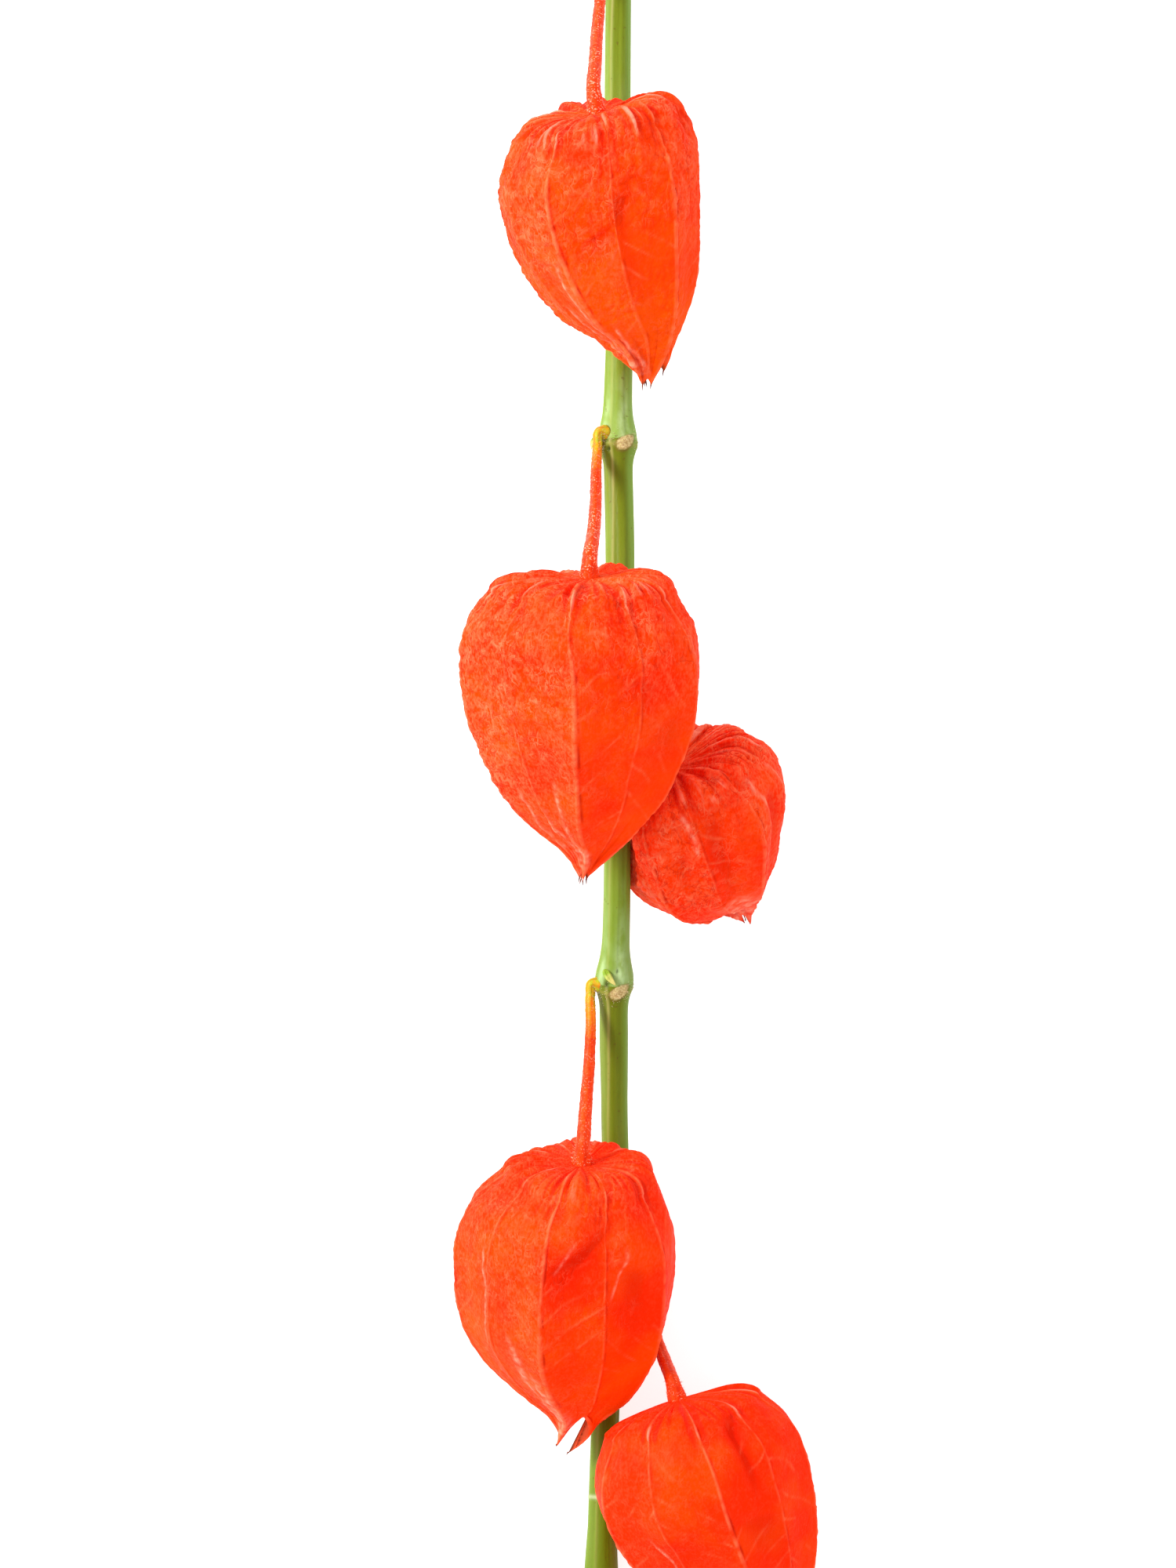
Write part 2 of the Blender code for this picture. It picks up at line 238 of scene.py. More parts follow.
def build_stem():
    """The stem's skin. Round it: five soft corners that shift at each joint and fine ridges from
    stretched noise. Along it: the joints' swelling, a step under each joint, scars and a ring."""
    line = smooth_through(stem_route, 1200)
    places = rows_close_to(joints + [pale_ring], line[0, 1], line[-1, 1])
    route = np.column_stack([np.interp(places, line[::-1, 1], line[::-1, k]) for k in range(3)])
    across = ways_out(turns(stem_sides), *line_frame(route)[1:])
    y, turn = np.broadcast_arrays(route[:, 1:2], turns(stem_sides))
    internode = sum(smooth_step(joint + 1.5, joint - 1.5, y) for joint in joints)
    radius = stem_radius(y)
    corners = np.cos(5 * turn + corner_shift * internode)
    streak = place_round(turn, 4.2, y / 38.0 + 7 * internode)
    ridges, fine = cloud(streak, 3), cloud(streak * (2.3, 2.3, 1.6), 4)
    grain = cloud(place_round(turn, 9, y / 1.6), 5)
    height = 0.055 * corners + 0.085 * ridges + 0.035 * fine + 0.012 * grain
    below = sum(np.where(y < joint, np.exp(-abs(y - joint) / 28.0), 0.0) for joint in joints)
    above = sum(np.where(y > joint, np.exp(-abs(y - joint) / 14.0), 0.0) for joint in joints)
    scar, rim, collar, hollow = np.zeros((4, *y.shape))
    # Each scar is shallow above and deep below, with a raised rim, and a collar runs under it.
    for place, degrees in leaf_scars:
        aside = turn - math.radians(degrees)
        side = nearest_turn(aside) * radius
        rise = y - place + 0.35 * side
        shape = np.hypot(side / 1.95, np.where(rise > 0, rise / 0.85, rise / 2.0))
        scar = np.maximum(scar, smooth_step(1.06, 0.90, shape))
        rim = np.maximum(rim, bell(shape - 1.08, 0.13))
        collar = np.maximum(collar, bell(y - place + 0.5 + 0.5 * np.cos(aside), 0.45))
    height = height * (1 - scar) + 0.12 * rim + 0.10 * collar * (1 - scar) + 0.10 * scar
    height = height - 0.03 * scar * cloud(np.stack([turn * 9, y * 3, 0 * y], axis=2), 9)
    ring = bell(y - pale_ring - 0.15 * np.sin(turn), 0.45)
    height = height + 0.10 * ring
    # Axil hollows dip the skin, and the material paints them near black as painted shade.
    for place, degrees, width in axil_hollows:
        side = nearest_turn(turn - math.radians(degrees)) * radius
        away = (side / (0.7 * width)) ** 2 + ((y - place) / width) ** 2
        hollow = np.maximum(hollow, np.exp(-away))
    height = height - 0.40 * hollow
    # A beige line runs down from each joint, and bands of painted sheen, a painted highlight, run
    # up from it.
    keeled = nearest_turn(turn - ridge_line_at + 0.10 * np.sin(y / 9.0)) * radius
    line_below = bell(keeled, 0.30) * np.clip(below, 0, 1) ** 0.6
    sheen = sum(strength * bell(turn - at, width) for at, width, strength in sheens)
    height = height + 0.07 * line_below
    grid = route[:, None] + across * (radius + height)[:, :, None]
    grid[:, :, 2] = np.maximum(grid[:, :, 2], table_top)
    masks = {"hollow": hollow, "keeled": line_below, "scar": scar, "rim": rim, "ring": ring,
             "collar": collar, "sheen": sheen * np.clip(1.3 * above, 0, 1) ** 2,
             "ridge": 0.5 + 0.5 * np.clip(1.3 * ridges + 0.5 * fine, -1, 1),
             "right": smooth_step(0.35, 0.85, np.cos(turn)), "left": 0.5 - 0.5 * np.cos(turn),
             # olive marks the browner stretch below each joint: painted shade and red bounce from
             # the husks.
             "olive": np.clip(below, 0, 1), "fresh": np.clip(above, 0, 1),
             # Darker toward the stem's lower end.
             "aged": smooth_step(70.0, -120.0, y)}
    return grid_object("stem_skin", grid, (route[0], route[-1]), masks)


def material_named(name):
    """A new material and its shader, ready for nodes to be linked to."""
    material = bpy.data.materials.new(name)
    material.use_nodes = True
    return material, material.node_tree, material.node_tree.nodes["Principled BSDF"]


def set_or_link(tree, socket, value):
    """Links an output to a socket, or a mask that is given by its name, or sets a plain value."""
    if isinstance(value, str):
        mask = tree.nodes.new("ShaderNodeAttribute")
        mask.attribute_name = value
        value = mask.outputs["Fac"]
    if isinstance(value, bpy.types.NodeSocket):
        tree.links.new(value, socket)
    else:
        socket.default_value = value


def noise_of(tree, scale, detail, stretch=(1, 1, 1), turn=0.0, distortion=0.0):
    """Noise on the piece's own coordinates: scale in waves a metre, stretched along each axis and
    turned about the vertical one."""
    place = tree.nodes.new("ShaderNodeTexCoord")
    mapping = tree.nodes.new("ShaderNodeMapping")
    mapping.inputs["Rotation"].default_value = (0.0, 0.0, turn)
    mapping.inputs["Scale"].default_value = stretch
    noise = tree.nodes.new("ShaderNodeTexNoise")
    for socket, number in (("Scale", scale), ("Detail", detail), ("Distortion", distortion)):
        noise.inputs[socket].default_value = number
    tree.links.new(place.outputs["Object"], mapping.inputs["Vector"])
    tree.links.new(mapping.outputs["Vector"], noise.inputs["Vector"])
    return noise.outputs["Fac"]


def blend_of(tree, factor, low, high):
    """Colour between low and high by a factor. Each is a plain value or another node's output,
    and the factor may be a mask's name."""
    node = tree.nodes.new("ShaderNodeMix")
    node.data_type = "RGBA"
    set_or_link(tree, node.inputs["Factor"], factor)
    for socket, value in (("A", low), ("B", high)):
        target = next(i for i in node.inputs if i.name == socket and i.type == "RGBA")
        set_or_link(tree, target, (*value, 1.0) if isinstance(value, tuple) else value)
    return next(o for o in node.outputs if o.type == "RGBA")


def math_of(tree, operation, *values):
    """The values joined from left to right by one operation, such as ADD or MULTIPLY. Here and
    below, a value is a number, another node's output or the name of a mask."""
    result = values[0]
    for value in values[1:]:
        node = tree.nodes.new("ShaderNodeMath")
        node.operation = operation
        set_or_link(tree, node.inputs[0], result)
        set_or_link(tree, node.inputs[1], value)
        result = node.outputs[0]
    return result


def range_of(tree, value, low, high, to_low, to_high):
    """value from low..high carried to to_low..to_high, and held at the ends."""
    node = tree.nodes.new("ShaderNodeMapRange")
    for socket, number in zip(node.inputs, (value, low, high, to_low, to_high)):
        set_or_link(tree, socket, number)
    return node.outputs["Result"]


def tinted(tree, body, *tints):
    """The body's colour with others laid over it in turn, each by (mask, strength, colour)."""
    for mask, strength, colour in tints:
        body = blend_of(tree, math_of(tree, "MULTIPLY", mask, strength), body, colour)
    return body


def set_shader(tree, shader, colour, roughness, specular, height, strength, depth):
    """The shader's colour, roughness and shine, and a bump of the given depth from a height."""
    set_or_link(tree, shader.inputs["Base Color"], colour)
    set_or_link(tree, shader.inputs["Roughness"], roughness)
    shader.inputs["Specular IOR Level"].default_value = specular
    bump = tree.nodes.new("ShaderNodeBump")
    for socket, value in (("Strength", strength), ("Distance", depth), ("Height", height)):
        set_or_link(tree, bump.inputs[socket], value)
    tree.links.new(bump.outputs["Normal"], shader.inputs["Normal"])


def stem_skin_material():
    """Olive green that is fresher above a joint and browner below it, where the husks' shade and
    red bounce are painted in. Pale stripes and beige scars; the left side and the right edge are
    painted paler as painted light, bands of painted highlight lie above the joints, the axil
    hollows are painted near black as painted shade, and it darkens toward its lower end."""
    material, tree, shader = material_named("green_stem_skin")
    stripes = range_of(tree, "ridge", 0.25, 0.8, 0.0, 1.0)
    green = blend_of(tree, stripes, (0.13, 0.21, 0.005), (0.16, 0.26, 0.012))
    # The browner colour below each joint: painted shade and red bounce from the husks.
    olive = blend_of(tree, stripes, (0.105, 0.122, 0.002), (0.135, 0.155, 0.004))
    body = blend_of(tree, range_of(tree, "olive", 0, 0.9, 0.15, 0.9), green, olive)
    # The left side, which faces the light, painted paler as painted light.
    pale = range_of(tree, "left", 0.6, 1.0, 0.0, 0.42)
    drawn = range_of(tree, noise_of(tree, 260, 2, (1, 0.15, 1)), 0.35, 0.6, 0.4, 1.0)
    # Patches in the painted sheen, the highlight painted in bands above the joints.
    sheen_patchiness = range_of(tree, noise_of(tree, 420, 3, (1, 0.5, 1)), 0.35, 0.6, 0.15, 0.75)
    speck = range_of(tree, noise_of(tree, 900, 4), 0.66, 0.72, 0.0, 0.5)
    grain = range_of(tree, noise_of(tree, 2400, 3), 0.38, 0.62, 0.0, 1.0)
    beige = blend_of(tree, grain, (0.36, 0.24, 0.09), (0.58, 0.48, 0.22))
    body = tinted(tree, body, ("fresh", 0.6, (0.22, 0.34, 0.05)),
                  # The right edge painted a lighter green as painted light.
                  ("right", 0.6, (0.20, 0.35, 0.05)), ("aged", 0.40, (0.075, 0.095, 0.002)),
                  (pale, drawn, (0.24, 0.37, 0.08)), ("sheen", sheen_patchiness, (0.42, 0.56, 0.28)),
                  ("keeled", 0.45, (0.46, 0.40, 0.14)), (speck, 1.0, (0.10, 0.06, 0.01)),
                  ("collar", 0.55, (0.30, 0.28, 0.06)), ("ring", 0.8, (0.40, 0.46, 0.25)),
                  ("rim", 0.7, (0.16, 0.10, 0.02)), ("scar", 1.0, beige),
                  # The axil hollows painted near black as painted shade.
                  ("hollow", 0.9, (0.025, 0.030, 0.003)))
    set_shader(tree, shader, body, 0.42, 0.08, noise_of(tree, 1400, 4, (1, 0.35, 1)), 0.35, 0.0002)
    shader.inputs["Subsurface Weight"].default_value = 0.15
    shader.inputs["Subsurface Radius"].default_value = (0.6, 1.0, 0.3)
    shader.inputs["Subsurface Scale"].default_value = 0.0015
    return material


stem_skin = build_stem()
stem_skin.data.materials.append(stem_skin_material())
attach(stem_skin, "root")
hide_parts("main_stem")


# ---- Stalks ----------------------------------------------------------------------------------
# Each husk hangs from a joint of the stem on its own thin stalk, the old flower's. It leaves the
# joint yellow-green, turns orange and then red, is grooved and pimpled with pale specks, and
# widens where it goes into the husk's drawn-in top.

husk_places = {  # where a husk meets its stalk, and its tip
    "lantern_1": ((-8.0, 143.1, 33.0), (2.2, 88.1, 21.0)),
    "lantern_2": ((-9.6, 48.6, 46.0), (-11.0, -12.2, 33.0)),
    "lantern_3": ((7.1, 10.4, 22.5), (23.0, -21.2, 3.0)),
    "lantern_4": ((-11.2, -70.1, 27.0), (-15.7, -128.7, 9.0)),
    "lantern_5": ((8.4, -118.6, 22.5), (25.1, -178.7, 12.0)),
}
stalks = {  # the joint's place, points between the joint and the husk, and how far up it starts
    "stalk_1": (182.5, [(-7.0, 177.7, 8.0), (-7.4, 168.7, 14.5), (-8.0, 161.5, 20.5),
                        (-8.4, 154.0, 28.0)], 0.0),
    "stalk_2": (77.5, [(-7.9, 76.6, 19.0), (-8.2, 71.3, 24.5), (-8.3, 64.5, 32.0),
                       (-8.8, 57.5, 40.5)], 1.9),
    "stalk_3": (22.5, [(2.2, 20.5, 22.4)], 0.0),
    "stalk_4": (-33.5, [(-9.4, -36.2, 17.0), (-9.3, -41.5, 18.2), (-9.6, -49.0, 20.0),
                        (-10.2, -57.0, 23.5)], -0.2),
    "stalk_5": (-89.5, [(1.2, -95.0, 4.5), (3.2, -104.0, 7.0), (5.0, -109.3, 12.0),
                        (6.3, -112.3, 17.5)], 0.0),
}
stalk_slender, stalk_stout = 0.95, 1.55
stalk_rows, stalk_sides = 170, 44
reddens_from, reddens_over = 3.6, 11.5
# Pale specks stand partly for painted glints on the pimples.
specks = {"stalk_1": 1.0, "stalk_2": 1.0}  # how strong the pale specks are
faint_specks = 0.4
noise_home = 200.0  # noise is read this far off, where the numbers of its cells are positive


def unit(vector):
    vector = np.asarray(vector, float)
    return vector / np.linalg.norm(vector)


stem_axis = smooth_through(stem_route, 400)


def stalk_line(name):
    """The stalk's route, from inside the stem's skin to just inside the husk's drawn-in base,
    with its last stretch in line with the husk."""
    joint, middle, rise = stalks[name]
    base, tip = husk_places[name.replace("stalk", "lantern")]
    root = stem_axis[np.argmin(abs(stem_axis[:, 1] - joint))]
    outward = unit(np.subtract(middle[0], root) * (1.0, 0.0, 1.0))
    start = root + outward * (stem_radius(root[1]) - 0.7) + (0.0, rise, 0.0)
    along = unit(np.subtract(tip, base))
    return smooth_through([start, start + outward * 1.6, *middle, base - along * 3.5,
                           base + along * 0.6], stalk_rows)


def build_stalk(name):
    """A round profile carried along the stalk's line. It widens along its length, and flares at
    both ends. Five shallow grooves run along it, and noise in small cells raises its pimples."""
    line, turn = stalk_line(name), turns(stalk_sides)
    across = ways_out(turn, *line_frame(line)[1:])
    reach = reach_along(line)[:, None]
    length, seed = reach[-1, 0], 60 + int(name[-1])
    radius = stalk_slender + (stalk_stout - stalk_slender) * reach / length
    radius = radius + 0.75 * bell(reach, 1.3) + 0.50 * bell(length - reach, 3.0)
    surface = line[:, None] + across * radius[:, :, None] + noise_home
    pimples = smooth_step(0.10, 0.75, cloud(surface / 0.42, seed))
    grooves = 0.5 + 0.5 * np.cos(5 * turn + 0.25 * reach / length)
    height = 0.09 * pimples - 0.08 * grooves**3 + 0.06 * cloud(surface / 1.7, seed + 1)
    grid = line[:, None] + across * (radius + height)[:, :, None]
    masks = {"age": np.clip((reach - reddens_from) / reddens_over, 0, 1), "groove": grooves**3,
             "speckled": specks.get(name, faint_specks)}
    return grid_object(name.replace("stalk", "husk_stalk"), grid, (line[0], line[-1]), masks)


def stalk_material():
    """Yellow-green, orange and then red along the stalk, with pale specks, partly painted glints on
    its pimples, and grooves darkened deep red as painted shade.
    """
    material, tree, shader = material_named("red_stalk_skin")
    uneven = range_of(tree, noise_of(tree, 900, 2), 0.3, 0.7, -0.10, 0.10)
    age = math_of(tree, "ADD", "age", uneven)
    orange = range_of(tree, age, 0.0, 0.26, 0, 1)
    mottle = range_of(tree, noise_of(tree, 1300, 3, (1, 0.5, 1)), 0.40, 0.62, 0.0, 0.35)
    # Pale specks: partly the stalk's own, partly painted glints on its pimples.
    speck = math_of(tree, "MULTIPLY", range_of(tree, noise_of(tree, 2600, 2), 0.56, 0.63, 0, 1),
                    range_of(tree, noise_of(tree, 420, 2), 0.42, 0.58, 0.10, 0.75),
                    range_of(tree, age, 0.2, 1.0, 0.3, 1.0))
    body = tinted(tree, blend_of(tree, orange, (0.34, 0.38, 0.015), (0.74, 0.24, 0.006)),
                  (range_of(tree, age, 0.24, 0.90, 0, 1), 1.0, (0.72, 0.036, 0.002)),
                  # The grooves darkened deep red as painted shade.
                  (mottle, 1.0, (0.82, 0.105, 0.012)), ("groove", 0.45, (0.38, 0.012, 0.003)),
                  (speck, "speckled", (0.93, 0.42, 0.28)))
    set_shader(tree, shader, body, 0.36, 0.07, noise_of(tree, 1900, 3), 0.5, 0.00012)
    return material


stalk_skin = stalk_material()
for name in stalks:
    stalk = build_stalk(name)
    stalk.data.materials.append(stalk_skin)
    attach(stalk, "root")
    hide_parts(name)


# ---- Axil buds -------------------------------------------------------------------------------
# At two joints a small green bud sits in the leaf's angle: a pointed bract, folded along its
# middle and curled over the joint, whose tip has dried yellow.

buds = {  # points along the middle, half the width, and which way its back faces
    "axil_bud_upper": ([(-8.3, 78.7, 16.6), (-9.0, 77.4, 17.5), (-9.2, 75.9, 17.3)], 0.62,
                       (-0.7, 0.0, 0.7)),
    "axil_bud_lower": ([(-6.5, -30.9, 19.2), (-5.7, -32.3, 20.5), (-4.2, -34.1, 20.3)], 0.78,
                       (0.2, 0.2, 1.0)),
}
bud_rows, bud_sides, bud_ribs = 34, 40, 12


def build_bud(name):
    """A flattened round profile carried along a curled line, widest in its first third and drawn
    to a point, with a fold down its back and fine ribs along it."""
    points, half_width, back = buds[name]
    line, turn = smooth_through(points, bud_rows), turns(bud_sides)
    forward = np.gradient(line, axis=0)
    side = np.cross(forward, np.asarray(back))
    side /= np.linalg.norm(side, axis=1)[:, None]
    out = np.cross(side, forward)
    out /= np.linalg.norm(out, axis=1)[:, None]
    share = np.linspace(0.03, 0.985, bud_rows)[:, None]
    width = half_width * np.sin(math.pi * share**0.62) ** 0.8
    fold = 0.28 * bell(turn - math.pi / 2, 0.45)
    ribs = 0.04 * np.cos(bud_ribs * turn)
    reach_side = width * (1 + ribs) * np.cos(turn)
    reach_out = width * (0.62 * np.sin(turn) * (1 + ribs) - fold * np.sin(math.pi * share))
    grid = (line[:, None] + reach_side[:, :, None] * side[:, None]
            + reach_out[:, :, None] * out[:, None])
    masks = {"tipward": share, "ribbed": 0.5 + 0.5 * np.cos(bud_ribs * turn)}
    return grid_object(name.replace("axil_bud", "bud_bract"), grid, (line[0], line[-1]), masks)


def bract_material():
    """Leaf green with paler ribs, turning straw yellow and then brown at the tip."""
    material, tree, shader = material_named("green_bract")
    ribbed = range_of(tree, "ribbed", 0, 1, 0, 0.8)
    green = blend_of(tree, ribbed, (0.12, 0.24, 0.008), (0.28, 0.40, 0.03))
    drying = math_of(tree, "ADD", range_of(tree, "tipward", 0.30, 0.75, 0, 1),
                     range_of(tree, noise_of(tree, 1500, 3), 0.3, 0.7, -0.2, 0.2))
    browned = range_of(tree, "tipward", 0.90, 0.99, 0, 0.8)
    body = tinted(tree, green, (drying, 1.0, (0.64, 0.56, 0.16)),
                  (browned, 1.0, (0.22, 0.13, 0.04)))
    set_shader(tree, shader, body, 0.5, 0.2, noise_of(tree, 2200, 3), 0.4, 0.0001)
    return material


bract_green = bract_material()
for name in buds:
    bract = build_bud(name)
    bract.data.materials.append(bract_green)
    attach(bract, "root")
    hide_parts(name)


# ---- Husks -----------------------------------------------------------------------------------
# Each husk is a dried calyx: five thin lobes grown together along five lesser ribs, with a main
# rib down the middle of each. It is drawn in round the stalk, puffed between its ribs, crinkled
# all over by a net of veins, and ends in the lobes' five points.

husk_shares = (0.05, 0.15, 0.30, 0.45, 0.60, 0.70, 0.80, 0.90)
cap_rings, side_rings, husk_spokes = 26, 164, 430
hollow_radius, hollow_clearance = 12.0, 0.9
vein_spacing = 6.0
main_rib_width, lesser_rib_width = 0.22, 0.17
# first_rib is a main rib's angle round the husk, in degrees from its right side over its top.
# pleats are how far the ten faces rise round the stalk, counted from that rib. keel is how
# sharply the main ribs stand out, 0 to 1, lobe_ends are the five points' shifts from the tip,
# to the right, over and along, parting is how deep each cut after a point is, slender how
# broad each lobe stays toward its point (below 1 is narrow), orange is how far from red to
# orange the paper is at the stalk and at the tip, bloom_and_sheen how pale it is, mostly as
# painted sheen on the side that faces the light and partly as a waxy whitening on crests,
# pale_right how much painted light pales the upper part of its right side, crinkled how
# creased, thread how long its dry ends are, tuck how far the underside's shoulder is pushed
# toward the tip, dents are (degrees round, share along, reach across, reach along, depth,
# slant), and streaks are raised folds, pale partly as painted highlight: (degrees round at
# each end, share along at each end, half the width). drawn_right is how far to the right of
# the tip the paper closes between the lobes.
usual_husk = dict(slender=(1.3, 1.3, 1.3, 1.3, 1.3), tuck=0.0, drawn_right=0.0)
husks = {
    "lantern_1": dict(
        half_depth=18.5, left=(18.0, 21.3, 22.2, 20.9, 17.5, 13.8, 7.4, 3.0),
        right=(17.9, 18.9, 18.0, 16.5, 14.4, 12.3, 8.8, 4.6), first_rib=122.0, keel=0.5,
        pleats=(0.8, 0.6, 1.4, 3.6, 2.4, 2.8, 2.4, 3.2, 2.6, 1.2), parting=(1.5, 2, 3, 6.5, 1.8),
        lobe_ends=((-0.7, 0.3, -0.6), (0, 0, -1), (0, 0, -1), (3.8, -0.4, -2.4), (0.7, 0.5, -0.2)),
        slender=(1.3, 1.3, 1.3, 0.8, 1.3), orange=(0.25, 1.1), bloom_and_sheen=0.60, crinkled=1.2,
        dents=((80, 0.30, 1.8, 14, 1.1, 0.0), (100, 0.62, 6, 8, -0.7, 0.3),
               (150, 0.5, 3, 12, 0.8, 0.2), (96, 0.40, 5, 5, 0.6, -0.6)),
        streaks=((131, 131, 0.45, 0.97, 0.55), (150, 146, 0.62, 0.95, 0.40),
                 (112, 116, 0.70, 0.97, 0.35), (86, 96, 0.44, 0.50, 0.30)),
        pale_right=1.0, seed=11, thread=1.5),
    "lantern_2": dict(
        half_depth=20.5, left=(20.3, 24.2, 24.8, 23.2, 19.4, 16.0, 10.6, 3.3),
        right=(17.6, 21.2, 22.5, 21.6, 18.4, 15.6, 11.0, 5.4), first_rib=96.0, keel=0.8,
        pleats=(0.5, 0.8, 0.9, -0.2, -0.4, 1.5, 2.1, 1.9, 2.0, 1.2), parting=(1.2, 1, 1.4, 1, 1.3),
        lobe_ends=((0, 0.2, 0.8), (-0.4, 0, 0.1), (-0.2, -0.4, 0.6), (0.5, 0, 0.6), (0.6, 0.3, 0)),
        orange=(0.15, 0.25), bloom_and_sheen=0.90, crinkled=1.0,
        dents=((60, 0.30, 5, 6, 0.8, 0.3), (125, 0.45, 5, 9, 0.6, 0.2),
               (40, 0.45, 4, 9, 0.6, -0.4)),
        streaks=((112, 110, 0.62, 0.97, 0.45), (128, 124, 0.72, 0.95, 0.40),
                 (150, 150, 0.66, 0.93, 0.40)),
        pale_right=0.8, seed=22, thread=1.1),
    "lantern_3": dict(
        half_depth=17.0, left=(16.0, 17.8, 18.6, 18.4, 16.8, 14.2, 9.2, 3.6),
        right=(17.6, 19.5, 20.0, 18.4, 15.0, 12.1, 8.2, 3.8), first_rib=60.0, keel=0.6,
        pleats=(1.4, 1.0, 0.8, 1.0, 1.0, 1.0, 1.9, 0.6, 1.4, 1.4), parting=(2.2, 1.5, 3.5, 2, 1.5),
        lobe_ends=((0.4, 0.2, 1.4), (-0.4, 0, 0.4), (-0.5, 0, 0.2), (0, 0, 0.4), (0.4, 0, 0.9)),
        orange=(0.15, 0.15), bloom_and_sheen=1.0, crinkled=1.15,
        dents=((84, 0.22, 2, 14, 1.3, 0.0), (40, 0.30, 2.4, 13, 1.3, 0.0),
               (112, 0.30, 2.2, 9, 0.9, 0.0), (20, 0.5, 3, 9, 0.8, 0.3),
               (132, 0.85, 4.0, 4.5, 1.7, 0.0)),
        streaks=((22, 14, 0.10, 0.85, 0.50), (46, 52, 0.06, 0.55, 0.50),
                 (150, 150, 0.55, 0.95, 0.60), (172, 166, 0.60, 0.98, 0.60),
                 (100, 96, 0.05, 0.30, 0.50), (82, 64, 0.66, 1.0, 4.2)),
        pale_right=1.3, seed=33, thread=0.4),
    "lantern_4": dict(
        half_depth=21.5, left=(16.2, 21.2, 23.7, 23.2, 21.0, 16.8, 10.2, 2.9),
        right=(15.6, 18.5, 20.0, 19.8, 18.4, 16.1, 12.6, 6.4), first_rib=103.0, keel=0.8,
        pleats=(1.6, 1.8, 1.2, 0.2, 1.6, 1.4, 2.8, 3.0, 2.4, 1.8), parting=(1.5, 2, 7.5, 5.5, 7.5),
        lobe_ends=((-0.6, 0.2, 1.3), (0, 0, -1), (-0.6, 0, -5), (2.4, -0.5, -6), (1.5, 0.2, 3.0)),
        slender=(1.0, 1.3, 1.0, 0.5, 0.4), orange=(0.08, 0.75), bloom_and_sheen=0.50, crinkled=0.62,
        dents=((85, 0.21, 6.0, 9, 1.8, -0.7), (88, 0.10, 6, 8, -0.8, 0.0),
               (48, 0.30, 3, 9, 1.0, 0.4), (140, 0.36, 3, 12, 0.8, 0.2)),
        streaks=((124, 118, 0.52, 0.98, 0.70), (111, 108, 0.64, 0.99, 1.25),
                 (146, 142, 0.22, 0.60, 0.30), (85, 99, 0.15, 0.27, 0.40),
                 (54, 62, 0.17, 0.37, 0.30)),
        pale_right=0.5, seed=44, thread=0.7, drawn_right=5.5),
    "lantern_5": dict(
        half_depth=20.5, left=(16.8, 20.2, 21.0, 17.9, 13.0, 9.8, 6.4, 2.9),
        right=(17.0, 20.7, 21.5, 20.6, 18.4, 15.6, 11.4, 5.6), first_rib=82.5, keel=0.6,
        pleats=(0.8, 0.4, -0.2, -2.0, -3.4, -2.6, -0.8, 0.3, 0.3, 0.6), parting=(2, 2, 2, 2, 2),
        lobe_ends=((0, 0.2, 0.1), (-0.4, 0, -0.6), (0, -0.3, 0), (0.4, 0, -0.4), (0.6, 0, -0.6)),
        orange=(0.0, 0.1), bloom_and_sheen=0.18, crinkled=0.38, tuck=4.0,
        dents=((57, 0.09, 2.0, 12, 2.0, 0.0), (62, 0.40, 5, 8, 0.8, 0.3),
               (118, 0.42, 4, 9, 0.7, 0.2)),
        streaks=((128, 124, 0.34, 0.80, 0.22),),
        pale_right=0.4, seed=55, thread=1.0),
}


def husk_axes(husk):
    """Unit vectors along the husk from stalk to tip, to its right side, and over its top."""
    along = unit(np.subtract(husk["tip"], husk["base"]))
    right = unit(np.cross((0.0, 0.0, 1.0), along))
    return along, right, np.cross(along, right)


def husk_outline(husk):
    """Rows of (place along the husk, reach to the left, reach to the right) and each row's place
    in the cap, from 0 at the stalk to 1 at the shoulder. The cap is a quarter ellipse, and a
    smooth curve through the given reaches goes on to the tip."""
    length = np.linalg.norm(np.subtract(husk["tip"], husk["base"]))
    share = np.array([*husk_shares, 1.0])
    reach = np.array([[*husk["left"], 0.0], [*husk["right"], 0.0]])
    side = smooth_through(np.column_stack([share * length, *reach]), side_rings + 1)
    ring = np.linspace(0, 1, cap_rings + 1)[1:-1, None]
    bend = ring * math.pi / 2
    cap = side[0] * np.hstack([1 - np.cos(bend), np.sin(bend), np.sin(bend)])
    in_cap = np.concatenate([ring[:, 0], np.ones(side_rings)])
    return np.vstack([cap, side[:-1]]), in_cap, length


def press_round(offset, centres, axes, line, radius):
    """Shortens each offset from the husk's centre line to stay clear of a stem or stalk, in a
    smooth hollow. A circle of hollow_radius that touches the stem's near side bounds it."""
    along, right, over = axes
    heading = np.gradient(line, axis=0)
    slant = np.maximum(abs(heading @ along) / np.linalg.norm(heading, axis=1), 0.5)
    order = np.argsort(line @ along)
    place, station = (line @ along)[order], centres @ along
    near = np.stack([np.interp(station, place, line[order, k]) for k in range(3)], axis=1)
    cut_radius = np.interp(station, place, (radius / slant)[order])
    across, up = (near - centres) @ right, (near - centres) @ over
    centre = np.hypot(across, up) - cut_radius - hollow_clearance + hollow_radius
    turn = np.arctan2(offset @ over, offset @ right) - np.arctan2(up, across)[:, None]
    inside = hollow_radius**2 - (centre[:, None] * np.sin(turn)) ** 2
    limit = centre[:, None] * np.cos(turn) - np.sqrt(np.maximum(inside, 0.0))
    size = np.linalg.norm(offset, axis=2)
    reached = ((station > place[0]) & (station < place[-1]))[:, None]
    touched = reached & (inside > 0) & (np.cos(turn) > 0) & (size > limit)
    share = np.where(touched, limit / np.maximum(size, 1e-9), 1.0)
    return offset * share[:, :, None]


